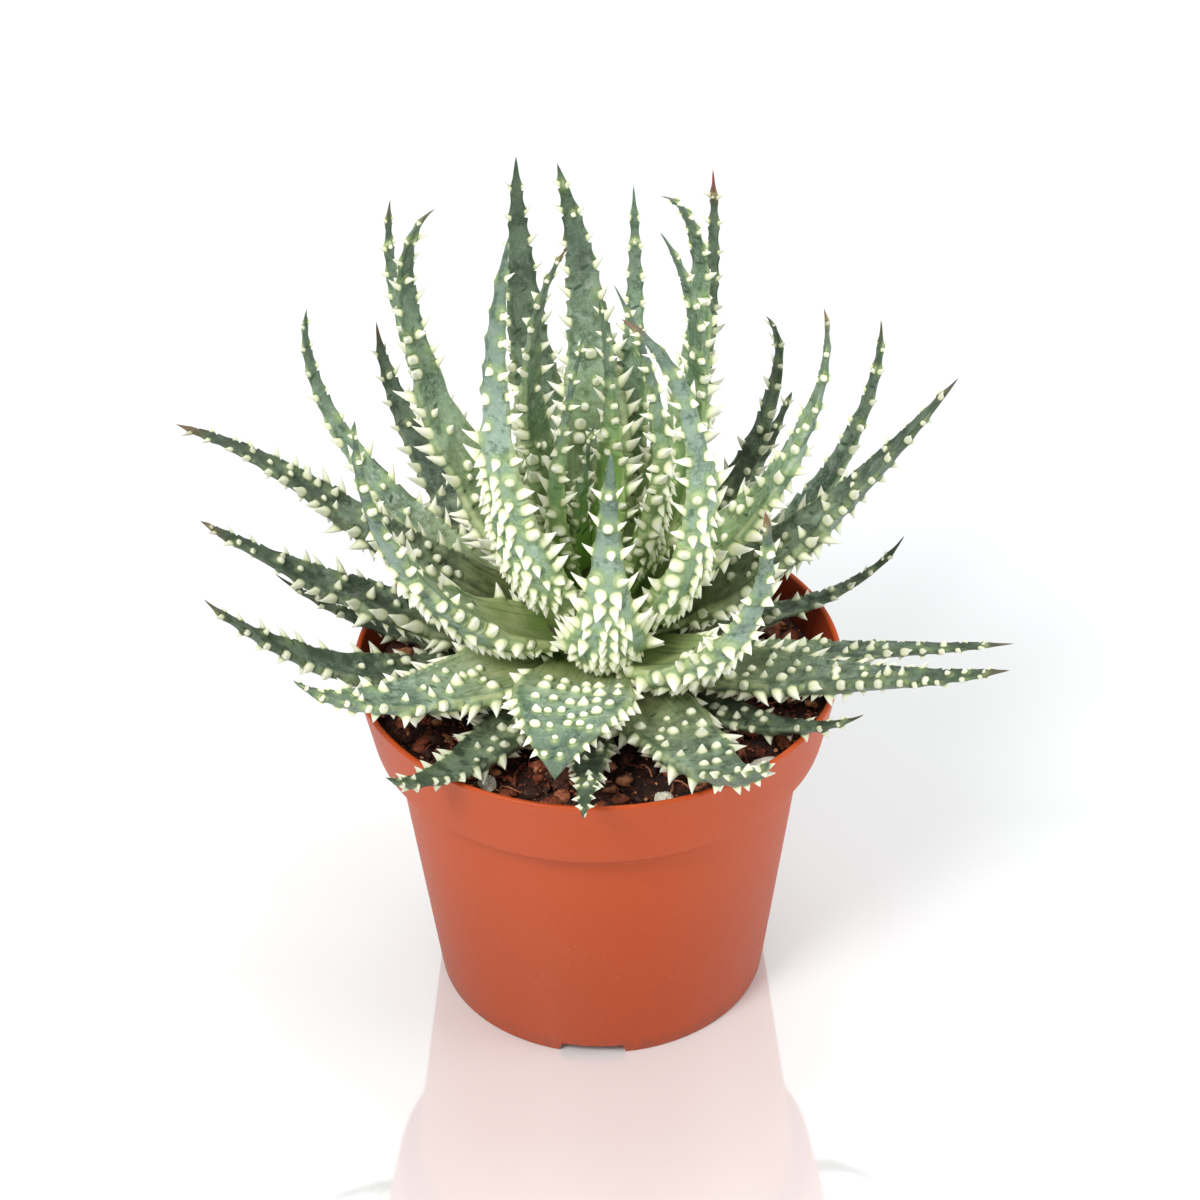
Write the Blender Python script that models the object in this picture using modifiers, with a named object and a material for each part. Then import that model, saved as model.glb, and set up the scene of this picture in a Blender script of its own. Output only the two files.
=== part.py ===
"""A toothed aloe growing in a plastic nursery pot.

Metres, +Z up. The origin is the middle of the pot's foot, on the surface that it
stands on. Azimuths are in degrees about +Z from +X; the pot's front is at 270.
"""
import math
from collections import namedtuple

import bmesh
import bpy
from mathutils import Vector, noise

# Fit between neighbouring solids
GAP = 0.0003

# Points of a turned profile nearer than this are one
MERGE_WITHIN = 0.00005

# Pot
RIM_RADIUS = 0.060
POT_HEIGHT = 0.094
BAND_HEIGHT = 0.020
BAND_LOW_RADIUS = 0.0558
WALL_TOP_RADIUS = 0.0513
FOOT_RADIUS = 0.0415
WALL = 0.0015
LEDGE_RISE = 0.001
LIP_ROUND = 0.0005
FOOT_RING_WIDTH = 0.003
FOOT_RING_HEIGHT = 0.003
POT_STEPS = 36
NOTCH_AZIMUTHS = (266, 26, 146)
NOTCH_WIDTH = 0.016
NOTCH_HEIGHT = 0.0028
DRAIN_COUNT = 6
DRAIN_RADIUS = 0.004
DRAIN_CIRCLE = 0.026
DRAIN_SIDES = 10

# Soil
SOIL_DROP = 0.0105
SOIL_MOUND = 0.0025
SOIL_LUMP = 0.0011
SOIL_GRAIN = 170.0
SOIL_STEPS = 32
LEVEL_AT_NECK = 2.0
SOIL_RINGS = 5

# Crown: the upper half of an ellipsoid on a neck that stands in the soil
CROWN_RADIUS = 0.0145
CROWN_TALL = 0.027
CROWN_BASE = POT_HEIGHT - 0.002
NECK_RADIUS = 0.009
NECK_DEPTH = 0.030
NECK_ROUND = 0.002
SHOULDER_INSET = 0.001
SHOULDER_DROP = 0.003
SHOULDER_TALL = 0.005
CROWN_STEPS = 20
CROWN_RINGS = 7

# Leaves
SEAT_GAP = 0.0006
BASE_SHARE = 0.40
SPREAD_BY = 0.30
PLAIN_POWER = 0.8
TAIL_SHARE = 0.42
TAIL_POWER = 0.62
FOOT_LENGTH = 0.33
THICK_SHARE = 0.30
THICK_LEAST = 0.0009
CHANNEL = 0.16
HANDLE = 0.36
SWAY_POWER = 3.0
LENGTH_STEPS = 24
FRAME_STEP = 0.01
TOOTH_HEIGHT = 0.0043
TOOTH_BASE = 0.0032
TOOTH_LEAN = 0.25
EDGE_TOOTH = 1.15
TOOTH_AT_FOOT = 0.52
TOOTH_GROWTH = 2.2
TOOTH_FADE = 0.12
TOOTH_TIP_FADE = 0.48
FIRST_ROW = 0.09
LAST_ROW = 0.955
ROW_PITCH = 0.0125
FEWEST_ROWS = 4

# Pumice granules: how lumpy they are, where they are cut flat, how far they are turned,
# and how far the soil is level round them as a share of their length
GRANULE_LUMP = 0.16
GRANULE_GRAIN = 3.0
GRANULE_CUT = -0.3
GRANULE_TURN = 60
LEVEL_UNDER = 0.8
# Each granule's azimuth, distance from the axis, length, width and height
GRANULES = (
    (318, 0.0535, 0.0090, 0.0060, 0.0045),
    (236, 0.0480, 0.0055, 0.0042, 0.0034),
    (288, 0.0490, 0.0050, 0.0040, 0.0032),
)

# One leaf: the azimuth that it grows at; how far its tip reaches from the pot's axis
# and rises over the rim; the height of its seat over the crown's base; its slope in
# degrees at the seat and at the tip; how far its tip sways to the left; its width; and
# how drawn out it is: 1 for a broad foot and a slim end, 0 for an even taper, and less
# for a blunt end.
Leaf = namedtuple("Leaf", "azimuth reach rise seat leave end sway width slim")
LEAVES = (
    Leaf(234, 0.083, 0.016, 0.000, 8, 46, 0, 0.0185, 0.40),
    Leaf(326, 0.075, 0.0125, -0.001, -3, 42, 0, 0.0148, 0.40),
    Leaf(267, 0.076, 0.010, -0.001, -2, 8, 0, 0.013, 0.10),
    Leaf(87.5, 0.076, 0.010, -0.001, 2, 12, 0, 0.0094, 0.10),
    Leaf(168.5, 0.081, 0.0145, -0.001, 6, 38, 0, 0.0105, 0.30),
    Leaf(17, 0.080, 0.018, 0.0015, 12, 58, 0, 0.0115, 0.50),
    Leaf(297, 0.084, 0.025, 0.004, -2, 58, 0, 0.0247, 0.10),
    Leaf(144.5, 0.070, 0.013, 0.000, 1, 30, 0, 0.011, 0.30),
    Leaf(335.5, 0.105, 0.026, 0.005, 8, 24, 0, 0.0198, 0.15),
    Leaf(213, 0.084, 0.028, 0.007, 6, 50, 0, 0.0252, 0.30),
    Leaf(260, 0.060, 0.008, 0.008, 11, -66, 0, 0.0264, -1.60),
    Leaf(193, 0.095, 0.034, 0.002, -5, 52, 0, 0.0188, 0.10),
    Leaf(59, 0.078, 0.010, -0.001, 3, 20, 0, 0.0108, 0.20),
    Leaf(115, 0.076, 0.010, -0.001, 1, 20, 0, 0.0096, 0.20),
    Leaf(356.5, 0.1015, 0.006, -0.0005, 10, 6, 0, 0.0135, 0.10),
    Leaf(175, 0.096, 0.036, 0.0065, 8, 34, 0, 0.019, 0.10),
    Leaf(168.5, 0.103, 0.056, 0.012, 14, 13, 0, 0.019, 0.22),
    Leaf(7, 0.087, 0.072, 0.011, 22, 52, 0, 0.021, 0.10),
    Leaf(312, 0.057, 0.071, 0.009, 14, 101, 0, 0.026, 0.85),
    Leaf(125.8, 0.094, 0.050, 0.004, 5, 85, 0, 0.016, 0.20),
    Leaf(208, 0.061, 0.088, 0.013, 22, 92, 0, 0.024, 0.55),
    Leaf(82, 0.077, 0.060, 0.003, 16, 70, 0, 0.015, 0.80),
    Leaf(106, 0.078, 0.060, 0.0065, 21, 70, 0, 0.0145, 0.80),
    Leaf(51, 0.080, 0.036, 0.0035, 10, 50, 0, 0.014, 0.50),
    Leaf(145.3, 0.085, 0.071, 0.0092, 2, 105, 0, 0.0158, 0.70),
    Leaf(24.2, 0.076, 0.076, 0.007, 8, 95, 0, 0.016, 0.65),
    Leaf(43.5, 0.058, 0.072, 0.010, 10, 130, 0, 0.0125, 0.50),
    Leaf(11, 0.055, 0.092, 0.019, 26, 99, 0, 0.019, 0.65),
    Leaf(275, 0.021, 0.073, 0.0135, 26, 100, 0.002, 0.024, 0.90),
    Leaf(131, 0.074, 0.097, 0.012, 20, 104, 0, 0.0155, 0.80),
    Leaf(141, 0.047, 0.109, 0.018, 22, 138, 0, 0.020, 0.75),
    Leaf(325, 0.008, 0.099, 0.017, 40, 164, 0, 0.0205, 0.65),
    Leaf(220, 0.024, 0.127, 0.019, 60, 104, 0, 0.024, 0.65),
    Leaf(59, 0.057, 0.108, 0.012, 25, 97, 0, 0.014, 0.75),
    Leaf(107, 0.061, 0.107, 0.014, 28, 97, 0, 0.0185, 0.10),
    Leaf(77, 0.055, 0.101, 0.015, 35, 83, 0.002, 0.013, 0.50),
    Leaf(89, 0.058, 0.105, 0.022, 57, 94, 0.009, 0.0205, 0.20),
    Leaf(53, 0.027, 0.116, 0.018, 38, 150, 0, 0.0145, 0.60),
    Leaf(29, 0.018, 0.114, 0.022, 51, 120, 0, 0.0165, 0.60),
    Leaf(148, 0.006, 0.114, 0.0245, 70, 122, 0, 0.014, 0.60),
    Leaf(350, 0.005, 0.106, 0.024, 68, 115, 0, 0.014, 0.60),
    Leaf(60, 0.003, 0.100, 0.026, 78, 105, 0, 0.0095, 0.80),
    Leaf(205, 0.002, 0.093, 0.025, 73, 105, 0, 0.0085, 0.80),
    Leaf(145, 0.000, 0.068, 0.026, 86, 102, 0, 0.006, 0.80),
)

# Half of a leaf's section, from the middle of its upper face round to the middle of
# its back: across as a share of its half width, up as a share of its thickness
WIDE_SECTION = ((0.45, 0.14), (0.97, 0.20), (0.97, -0.32), (0.68, -0.66), (0.24, -0.84))
SLIM_SECTION = ((0.42, 0.16), (0.97, 0.20), (0.97, -0.32), (0.42, -0.84))
SLIM_BELOW = 0.0155
# Faces that carry teeth in turn, counted round from the upper face's middle
WIDE_TEETH = ((2, 4, 6, 8, 0), (2, 3, 5, 7, 8), (2, 4, 6, 8, 1), (2, 3, 5, 7, 8, 9))
SLIM_TEETH = ((2, 3, 5, 6), (2, 4, 6, 1), (2, 3, 5, 6), (2, 4, 6, 7))
EDGE_FACE = 2

# Looks: base colour and roughness
TERRACOTTA = ((0.50, 0.11, 0.045), 0.45)
EARTH = ((0.045, 0.022, 0.014), 0.95)
STONE = ((0.72, 0.68, 0.60), 0.9)
GREEN = ((0.19, 0.31, 0.22), 0.5)
PALE = ((0.30, 0.36, 0.16), 0.6)


def clear_scene():
    for thing in list(bpy.data.objects):
        bpy.data.objects.remove(thing, do_unlink=True)


def new_collection(name):
    group = bpy.data.collections.new(name)
    bpy.context.scene.collection.children.link(group)
    return group


def material(name, colour, roughness):
    made = bpy.data.materials.new(name)
    made.use_nodes = True
    shader = made.node_tree.nodes["Principled BSDF"]
    shader.inputs["Base Color"].default_value = (*colour, 1.0)
    shader.inputs["Roughness"].default_value = roughness
    shader.inputs["Metallic"].default_value = 0.0
    return made


def add_object(name, mesh, group, look):
    thing = bpy.data.objects.new(name, mesh)
    if look:
        mesh.materials.append(look)
    group.objects.link(thing)
    return thing


def polar(azimuth, distance, height):
    angle = math.radians(azimuth)
    return Vector((distance * math.cos(angle), distance * math.sin(angle), height))


def turned(name, outline, steps, group, look):
    """A profile of (radius, height) points, run down its outer side, turned about Z."""
    mesh = bpy.data.meshes.new(name)
    points = [(radius, 0.0, height) for radius, height in outline]
    edges = [(i, i + 1) for i in range(len(points) - 1)]
    mesh.from_pydata(points, edges, [])
    thing = add_object(name, mesh, group, look)
    screw = thing.modifiers.new("turn", "SCREW")
    screw.axis = "Z"
    screw.angle = math.tau
    screw.steps = steps
    screw.render_steps = steps
    screw.use_merge_vertices = True
    screw.merge_threshold = MERGE_WITHIN
    screw.use_smooth_shade = True
    return thing


def baked(thing):
    """Replaces an object's mesh with what its modifiers make."""
    bpy.context.view_layer.update()
    evaluated = thing.evaluated_get(bpy.context.evaluated_depsgraph_get())
    mesh = bpy.data.meshes.new_from_object(evaluated)
    thing.modifiers.clear()
    thing.data = mesh
    return thing


# Pot

def wall_radius(height):
    """The outer wall's radius below the band."""
    return FOOT_RADIUS + (WALL_TOP_RADIUS - FOOT_RADIUS) * height / (POT_HEIGHT - BAND_HEIGHT)


def band_radius(height):
    share = (POT_HEIGHT - height) / BAND_HEIGHT
    return RIM_RADIUS + (BAND_LOW_RADIUS - RIM_RADIUS) * share


def pot_inside():
    """The pot's inner profile from the floor's edge up to the lip."""
    floor = FOOT_RING_HEIGHT + WALL
    ledge = POT_HEIGHT - BAND_HEIGHT + WALL
    return [
        (wall_radius(floor) - WALL, floor),
        (wall_radius(ledge - LEDGE_RISE) - WALL, ledge - LEDGE_RISE),
        (band_radius(ledge) - WALL, ledge),
        (RIM_RADIUS - WALL, POT_HEIGHT - LIP_ROUND),
    ]


def pot_outline():
    floor = FOOT_RING_HEIGHT + WALL
    ledge = POT_HEIGHT - BAND_HEIGHT
    ring_inside = FOOT_RADIUS - FOOT_RING_WIDTH
    return [
        (0.0, floor),
        *pot_inside(),
        (RIM_RADIUS - WALL + LIP_ROUND, POT_HEIGHT),
        (RIM_RADIUS - LIP_ROUND, POT_HEIGHT),
        (RIM_RADIUS, POT_HEIGHT - LIP_ROUND),
        (BAND_LOW_RADIUS, ledge),
        (WALL_TOP_RADIUS, ledge - LEDGE_RISE),
        (FOOT_RADIUS, 0.0),
        (ring_inside, 0.0),
        (ring_inside, FOOT_RING_HEIGHT),
        (0.0, FOOT_RING_HEIGHT),
    ]


def cut(thing, cutter):
    cutter.hide_render = True
    cutter.display_type = "WIRE"
    boolean = thing.modifiers.new(cutter.name, "BOOLEAN")
    boolean.operation = "DIFFERENCE"
    boolean.solver = "EXACT"
    boolean.object = cutter


def box_cutter(name, centre, size, azimuth, group):
    mesh = bpy.data.meshes.new(name)
    form = bmesh.new()
    bmesh.ops.create_cube(form, size=1.0)
    bmesh.ops.scale(form, vec=size, verts=form.verts)
    form.to_mesh(mesh)
    form.free()
    cutter = add_object(name, mesh, group, None)
    cutter.location = centre
    cutter.rotation_euler = (0.0, 0.0, math.radians(azimuth))
    return cutter


def drain_cutter(name, centre, group):
    mesh = bpy.data.meshes.new(name)
    form = bmesh.new()
    bmesh.ops.create_cone(form, cap_ends=True, segments=DRAIN_SIDES, radius1=DRAIN_RADIUS,
                          radius2=DRAIN_RADIUS, depth=4 * WALL)
    form.to_mesh(mesh)
    form.free()
    cutter = add_object(name, mesh, group, None)
    cutter.location = centre
    return cutter


def build_pot(group, cutters, look):
    pot = turned("pot", pot_outline(), POT_STEPS, group, look)
    for number, azimuth in enumerate(NOTCH_AZIMUTHS):
        centre = polar(azimuth, FOOT_RADIUS - FOOT_RING_WIDTH / 2, 0.0)
        size = (4 * FOOT_RING_WIDTH, NOTCH_WIDTH, 2 * NOTCH_HEIGHT)
        cut(pot, box_cutter(f"notch_{number}", centre, size, azimuth, cutters))
    for number in range(DRAIN_COUNT):
        centre = polar(number * 360 / DRAIN_COUNT, DRAIN_CIRCLE, FOOT_RING_HEIGHT + WALL / 2)
        cut(pot, drain_cutter(f"drain_{number}", centre, cutters))
    return pot


# Soil

def soil_height(distance):
    """The soil's level: a low mound round the plant."""
    level = POT_HEIGHT - SOIL_DROP
    return level + SOIL_MOUND * max(0.0, 1.0 - (distance / RIM_RADIUS) ** 2)


def granule_clearance(point):
    """0 under a granule, rising to 1 a little way off."""
    nearest = 1.0
    for azimuth, distance, length, _, _ in GRANULES:
        away = (point.xy - polar(azimuth, distance, 0.0).xy).length
        nearest = min(nearest, max(0.0, away / length - LEVEL_UNDER))
    return nearest


def build_soil(group, look):
    inside = [(radius - GAP, height) for radius, height in pot_inside()[:3]]
    edge = band_radius(POT_HEIGHT - SOIL_DROP) - WALL - GAP
    hole = NECK_RADIUS + GAP
    hole_floor = CROWN_BASE - NECK_DEPTH - GAP
    top = [hole + (edge - hole) * i / (SOIL_RINGS - 1) for i in range(SOIL_RINGS)]
    outline = [(0.0, hole_floor), (hole, hole_floor)]
    outline += [(radius, soil_height(radius)) for radius in top]
    outline += [(radius, height + GAP) for radius, height in reversed(inside)]
    outline.append((0.0, inside[0][1] + GAP))
    soil = baked(turned("soil", outline, SOIL_STEPS, group, look))
    for vertex in soil.data.vertices:
        distance = vertex.co.xy.length
        on_top = vertex.co.z > POT_HEIGHT - SOIL_DROP - GAP
        if on_top and LEVEL_AT_NECK * hole < distance < edge - GAP:
            lump = noise.noise(vertex.co * SOIL_GRAIN)
            vertex.co.z += SOIL_LUMP * lump * granule_clearance(vertex.co)
    return soil


def build_granule(number, row, group, look):
    """A rough little stone, flat underneath where it lies on the soil."""
    azimuth, distance, length, width, height = row
    mesh = bpy.data.meshes.new(f"pumice_granule_{number}")
    form = bmesh.new()
    bmesh.ops.create_icosphere(form, subdivisions=2, radius=0.5)
    for vertex in form.verts:
        lump = noise.noise(vertex.co * GRANULE_GRAIN + Vector((number, 0, 0)))
        vertex.co *= 1.0 + GRANULE_LUMP * lump
    cut_plane = bmesh.ops.bisect_plane(form, geom=form.verts[:] + form.edges[:] + form.faces[:],
                                       plane_co=(0, 0, GRANULE_CUT), plane_no=(0, 0, -1), clear_outer=True)
    rim = [item for item in cut_plane["geom_cut"] if isinstance(item, bmesh.types.BMEdge)]
    bmesh.ops.contextual_create(form, geom=rim)
    bmesh.ops.recalc_face_normals(form, faces=form.faces[:])
    bmesh.ops.scale(form, vec=(length, width, height), verts=form.verts)
    form.to_mesh(mesh)
    form.free()
    granule = add_object(mesh.name, mesh, group, look)
    lowest = min(vertex.co.z for vertex in mesh.vertices)
    highest_soil = soil_height(distance - length / 2)
    granule.location = polar(azimuth, distance, highest_soil + GAP - lowest)
    granule.rotation_euler = (0.0, 0.0, math.radians(azimuth + GRANULE_TURN))
    return granule


# Stem

def build_stem(group, look):
    foot = CROWN_BASE - NECK_DEPTH
    outline = []
    for i in range(CROWN_RINGS):
        turn = math.pi / 2 * (1 - i / (CROWN_RINGS - 1))
        outline.append((CROWN_RADIUS * math.cos(turn), CROWN_BASE + CROWN_TALL * math.sin(turn)))
    outline[0] = (0.0, CROWN_BASE + CROWN_TALL)
    outline += [
        (CROWN_RADIUS - SHOULDER_INSET, CROWN_BASE - SHOULDER_DROP),
        (NECK_RADIUS, CROWN_BASE - SHOULDER_TALL),
        (NECK_RADIUS, foot + NECK_ROUND),
        (NECK_RADIUS - NECK_ROUND, foot),
        (0.0, foot),
    ]
    return turned("stem", outline, CROWN_STEPS, group, look)


# Leaves

def on_crown(point, clearance):
    """Moves a point onto the crown's ellipsoid, a clearance out from its surface."""
    wide = CROWN_RADIUS + clearance
    tall = CROWN_TALL + clearance
    unit = Vector((point.x / wide, point.y / wide, (point.z - CROWN_BASE) / tall)).normalized()
    return Vector((unit.x * wide, unit.y * wide, CROWN_BASE + unit.z * tall))


def leaf_width(leaf, s):
    """Full width at a share s of the length: clasping foot, full blade, long drawn tip."""
    plain = (1 - s) ** PLAIN_POWER
    broad_foot = math.exp(-(s / FOOT_LENGTH) ** 2)
    drawn = TAIL_SHARE * (1 - s) ** TAIL_POWER + (1 - TAIL_SHARE) * broad_foot
    spread = min(1.0, s / SPREAD_BY)
    foot = BASE_SHARE + (1 - BASE_SHARE) * spread * spread * (3 - 2 * spread)
    return leaf.width * foot * (plain + leaf.slim * (drawn - plain))


def leaf_thickness(leaf, s):
    return THICK_SHARE * leaf_width(leaf, s) + THICK_LEAST * math.sqrt(1 - s)


class LeafPath:
    """The middle line of a leaf: a cubic curve in an upright plane, swayed to one side."""

    def __init__(self, leaf):
        self.leaf = leaf
        share = leaf.seat / CROWN_TALL
        seat_radius = (CROWN_RADIUS + SEAT_GAP) * math.sqrt(1 - share * share)
        self.out = polar(leaf.azimuth, 1.0, 0.0)
        self.side = polar(leaf.azimuth + 90, 1.0, 0.0)
        start = Vector((seat_radius, CROWN_BASE + leaf.seat))
        tip = Vector((leaf.reach, POT_HEIGHT + leaf.rise))
        handle = HANDLE * (tip - start).length
        leave = math.radians(leaf.leave)
        end = math.radians(leaf.end)
        self.points = (
            start,
            start + handle * Vector((math.cos(leave), math.sin(leave))),
            tip - handle * Vector((math.cos(end), math.sin(end))),
            tip,
        )
        stops = [self.at(i / LENGTH_STEPS) for i in range(LENGTH_STEPS + 1)]
        self.length = sum((after - before).length for before, after in zip(stops, stops[1:]))

    def at(self, s):
        a, b, c, d = self.points
        r = 1 - s
        flat = a * r ** 3 + b * (3 * r * r * s) + c * (3 * r * s * s) + d * s ** 3
        sway = self.leaf.sway * s ** SWAY_POWER
        return self.out * flat.x + Vector((0, 0, flat.y)) + self.side * sway

    def frame(self, s):
        """Middle point, direction, sideways and up (towards the heart) at a share s."""
        low = max(0.0, s - FRAME_STEP)
        high = min(1.0, s + FRAME_STEP)
        along = (self.at(high) - self.at(low)).normalized()
        side = (self.side - along * self.side.dot(along)).normalized()
        return self.at(s), along, side, along.cross(side)


def tooth_share(s):
    """A tooth's size as a share of the largest: small at the foot and the tip."""
    young = min(1.0, TOOTH_AT_FOOT + TOOTH_GROWTH * s)
    return young * (1 - TOOTH_FADE * s - TOOTH_TIP_FADE * s ** 3)


def leaf_rings(path):
    """Shares of the length where the sections lie: a close pair for each row of teeth."""
    rows = max(FEWEST_ROWS, round(path.length / ROW_PITCH))
    shares = [0.0]
    for row in range(rows):
        middle = FIRST_ROW + (LAST_ROW - FIRST_ROW) * row / (rows - 1)
        half = TOOTH_BASE * tooth_share(middle) / path.length / 2
        shares += [middle - half, middle + half]
    return shares + [1.0]


def leaf_section(leaf):
    half = SLIM_SECTION if leaf.width < SLIM_BELOW else WIDE_SECTION
    return [(-x, y) for x, y in half] + [(x, y) for x, y in reversed(half)]


def section_point(leaf, path, s, across, up):
    middle, _, side, upward = path.frame(s)
    half = leaf_width(leaf, s) / 2
    lift = leaf_thickness(leaf, s) * up + CHANNEL * half * across * across
    point = middle + side * (half * across) + upward * lift
    if s == 0.0:
        point = middle + side * (half * across) + Vector((0, 0, lift))
        return on_crown(point, SEAT_GAP)
    return point


def build_leaf(number, leaf, group, look):
    path = LeafPath(leaf)
    shares = leaf_rings(path)
    section = leaf_section(leaf)
    sides = len(section)
    mesh = bpy.data.meshes.new(f"leaf_{number:02d}")
    form = bmesh.new()
    bmesh.ops.create_cone(form, cap_ends=True, segments=sides, radius1=1, radius2=1, depth=1)
    upright = [edge for edge in form.edges if abs(edge.verts[0].co.z - edge.verts[1].co.z) > 0.5]
    bmesh.ops.subdivide_edges(form, edges=upright, cuts=len(shares) - 2)
    place = {}
    for vertex in form.verts:
        ring = round((vertex.co.z + 0.5) * (len(shares) - 1))
        turn = math.atan2(vertex.co.y, vertex.co.x) / math.tau * sides
        place[vertex] = (ring, round(turn) % sides)
    rows = {}
    caps = []
    for face in form.faces:
        rings = sorted({place[vertex][0] for vertex in face.verts})
        corners = sorted({place[vertex][1] for vertex in face.verts})
        if len(rings) == 1:
            caps.append((rings[0], face))
            continue
        spot = corners[-1] if corners[0] == 0 and corners[1] != 1 else corners[0]
        rows[face] = (rings[0], spot)
    for vertex in form.verts:
        ring, corner = place[vertex]
        across, up = section[corner]
        vertex.co = section_point(leaf, path, shares[ring], across, up)
    foot_cap = next(face for ring, face in caps if ring == 0)
    foot = bmesh.ops.poke(form, faces=[foot_cap])["verts"][0]
    foot.co = on_crown(path.at(0.0), GAP)
    form.normal_update()
    pattern = SLIM_TEETH if leaf.width < SLIM_BELOW else WIDE_TEETH
    middle_face = len(section) // 2 - 1
    for face, (ring, spot) in list(rows.items()):
        if ring % 2 == 0:
            continue
        around = (middle_face - spot) % sides
        if around not in pattern[(ring // 2) % len(pattern)]:
            continue
        s = (shares[ring] + shares[ring + 1]) / 2
        edge = around in (EDGE_FACE, sides - EDGE_FACE)
        tall = TOOTH_HEIGHT * tooth_share(s) * (EDGE_TOOTH if edge else 1.0)
        outward = face.normal.copy()
        along = path.frame(s)[1]
        top = bmesh.ops.poke(form, faces=[face])["verts"][0]
        top.co += (outward + along * TOOTH_LEAN).normalized() * tall
    tips = [vertex for vertex in form.verts if place.get(vertex, (0, 0))[0] == len(shares) - 1]
    bmesh.ops.pointmerge(form, verts=tips, merge_co=path.at(1.0))
    form.to_mesh(mesh)
    form.free()
    return add_object(mesh.name, mesh, group, look)


def build():
    clear_scene()
    group = new_collection("potted_aloe")
    cutters = new_collection("cutters")
    terracotta = material("terracotta_plastic", *TERRACOTTA)
    earth = material("soil", *EARTH)
    stone = material("pumice", *STONE)
    green = material("aloe_leaf", *GREEN)
    pale = material("aloe_stem", *PALE)
    build_pot(group, cutters, terracotta)
    build_soil(group, earth)
    for number, row in enumerate(GRANULES, start=1):
        build_granule(number, row, group, stone)
    build_stem(group, pale)
    for number, leaf in enumerate(LEAVES, start=1):
        build_leaf(number, leaf, group, green)


build()
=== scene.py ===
"""The potted aloe dressed for its picture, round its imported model.

Metres, +Z up, in the model's own frame. Azimuths are in degrees about +Z from +X,
and the pot's front is at 270.
"""
from collections import namedtuple
from math import atan, ceil, copysign, cos, floor, hypot, pi, radians, sin, sqrt, tau

import bmesh
import bpy
import numpy as np
from mathutils import Matrix, Vector, noise


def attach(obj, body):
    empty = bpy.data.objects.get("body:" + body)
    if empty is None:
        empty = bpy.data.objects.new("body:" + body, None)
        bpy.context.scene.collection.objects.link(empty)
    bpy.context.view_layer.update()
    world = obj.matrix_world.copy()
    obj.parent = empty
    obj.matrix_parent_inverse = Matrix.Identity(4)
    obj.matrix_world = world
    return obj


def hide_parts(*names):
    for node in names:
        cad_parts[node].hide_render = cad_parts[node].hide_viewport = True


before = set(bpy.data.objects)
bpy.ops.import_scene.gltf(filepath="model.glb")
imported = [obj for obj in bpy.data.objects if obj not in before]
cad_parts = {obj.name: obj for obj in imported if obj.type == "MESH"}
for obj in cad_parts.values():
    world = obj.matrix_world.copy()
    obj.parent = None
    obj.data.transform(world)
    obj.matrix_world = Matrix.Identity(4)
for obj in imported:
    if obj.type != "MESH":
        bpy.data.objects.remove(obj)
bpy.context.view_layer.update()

# Camera
VIEW_DISTANCE = 0.900
VIEW_TARGET = (0.0, 0.0, 0.100)
VIEW_PITCH = 36.3
VIEW_ROLL = -0.9
FOCAL_PIXELS = 3680.0
IMAGE_SIDE = 1200.0
TARGET_PIXEL = (597.4, 635.0)
SENSOR = 36.0

# Sky: its strength low down and high up, and where it fades from one to the other
SKY_LOW = 0.83
SKY_HIGH = 0.35
SKY_FADE = (0.76, 0.92)

# Lamps: name, place, size, power, colour
LAMP_TARGET = (0.0, 0.0, 0.11)
LAMPS = (
    ("key", (-0.75, -1.05, 1.55), 0.6, 25.5, (1.0, 0.99, 0.97)),
    ("fill", (1.50, -0.35, 0.80), 1.0, 10.5, (0.97, 0.99, 1.0)),
    ("top", (0.10, 0.55, 1.70), 0.9, 8.0, (1.0, 1.0, 1.0)),
)

# Pot, the same sizes as its solid
RIM_RADIUS = 0.060
POT_HEIGHT = 0.094
BAND_HEIGHT = 0.020
LEDGE = POT_HEIGHT - BAND_HEIGHT
BAND_LOW_RADIUS = 0.0558
WALL_TOP_RADIUS = 0.0513
FOOT_RADIUS = 0.0415
WALL = 0.0015
LEDGE_RISE = 0.001
FOOT_RING_WIDTH = 0.003
FOOT_RING_HEIGHT = 0.003
FLOOR = FOOT_RING_HEIGHT + WALL
NOTCH_AZIMUTHS = (266, 26, 146)
NOTCH_WIDTH = 0.016
NOTCH_HEIGHT = 0.0028
DRAIN_COUNT = 6
DRAIN_RADIUS = 0.004
DRAIN_CIRCLE = 0.026

# The pot's finer form: a notch's sides lean out, edges are rounded, and each drainage
# hole is turned by its own angle, which keeps its points off the pot's
NOTCH_FLARE = 0.0009
INNER_ROUND = 0.002
EDGE_ROUND = 0.0005
LEDGE_FILLET = (0.0009, 0.0002)
BAND_FOOT = 0.0016
FLOOR_RING = 0.020
BAND_LEVELS = (0.080, 0.086, 0.0915)
INNER_LEVELS = np.linspace(0.012, 0.066, 7)
OUTER_LEVELS = np.linspace(0.069, 0.003, 12)
DRAIN_TURN = 3.7
DRAIN_TURN_STEP = 11

# Soil: each of its lumps as a grain and a height
GAP = 0.0003
SOIL_LEVEL = POT_HEIGHT - 0.0105
SOIL_MOUND = 0.0025
SOIL_RINGS = 56
SOIL_LUMPS = ((150.0, 0.0009), (480.0, 0.0008), (1200.0, 0.0004))
SOIL_SINK = 0.0003
SOIL_FADE = 0.002
SOIL_FADE_LEAST = 0.15

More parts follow.
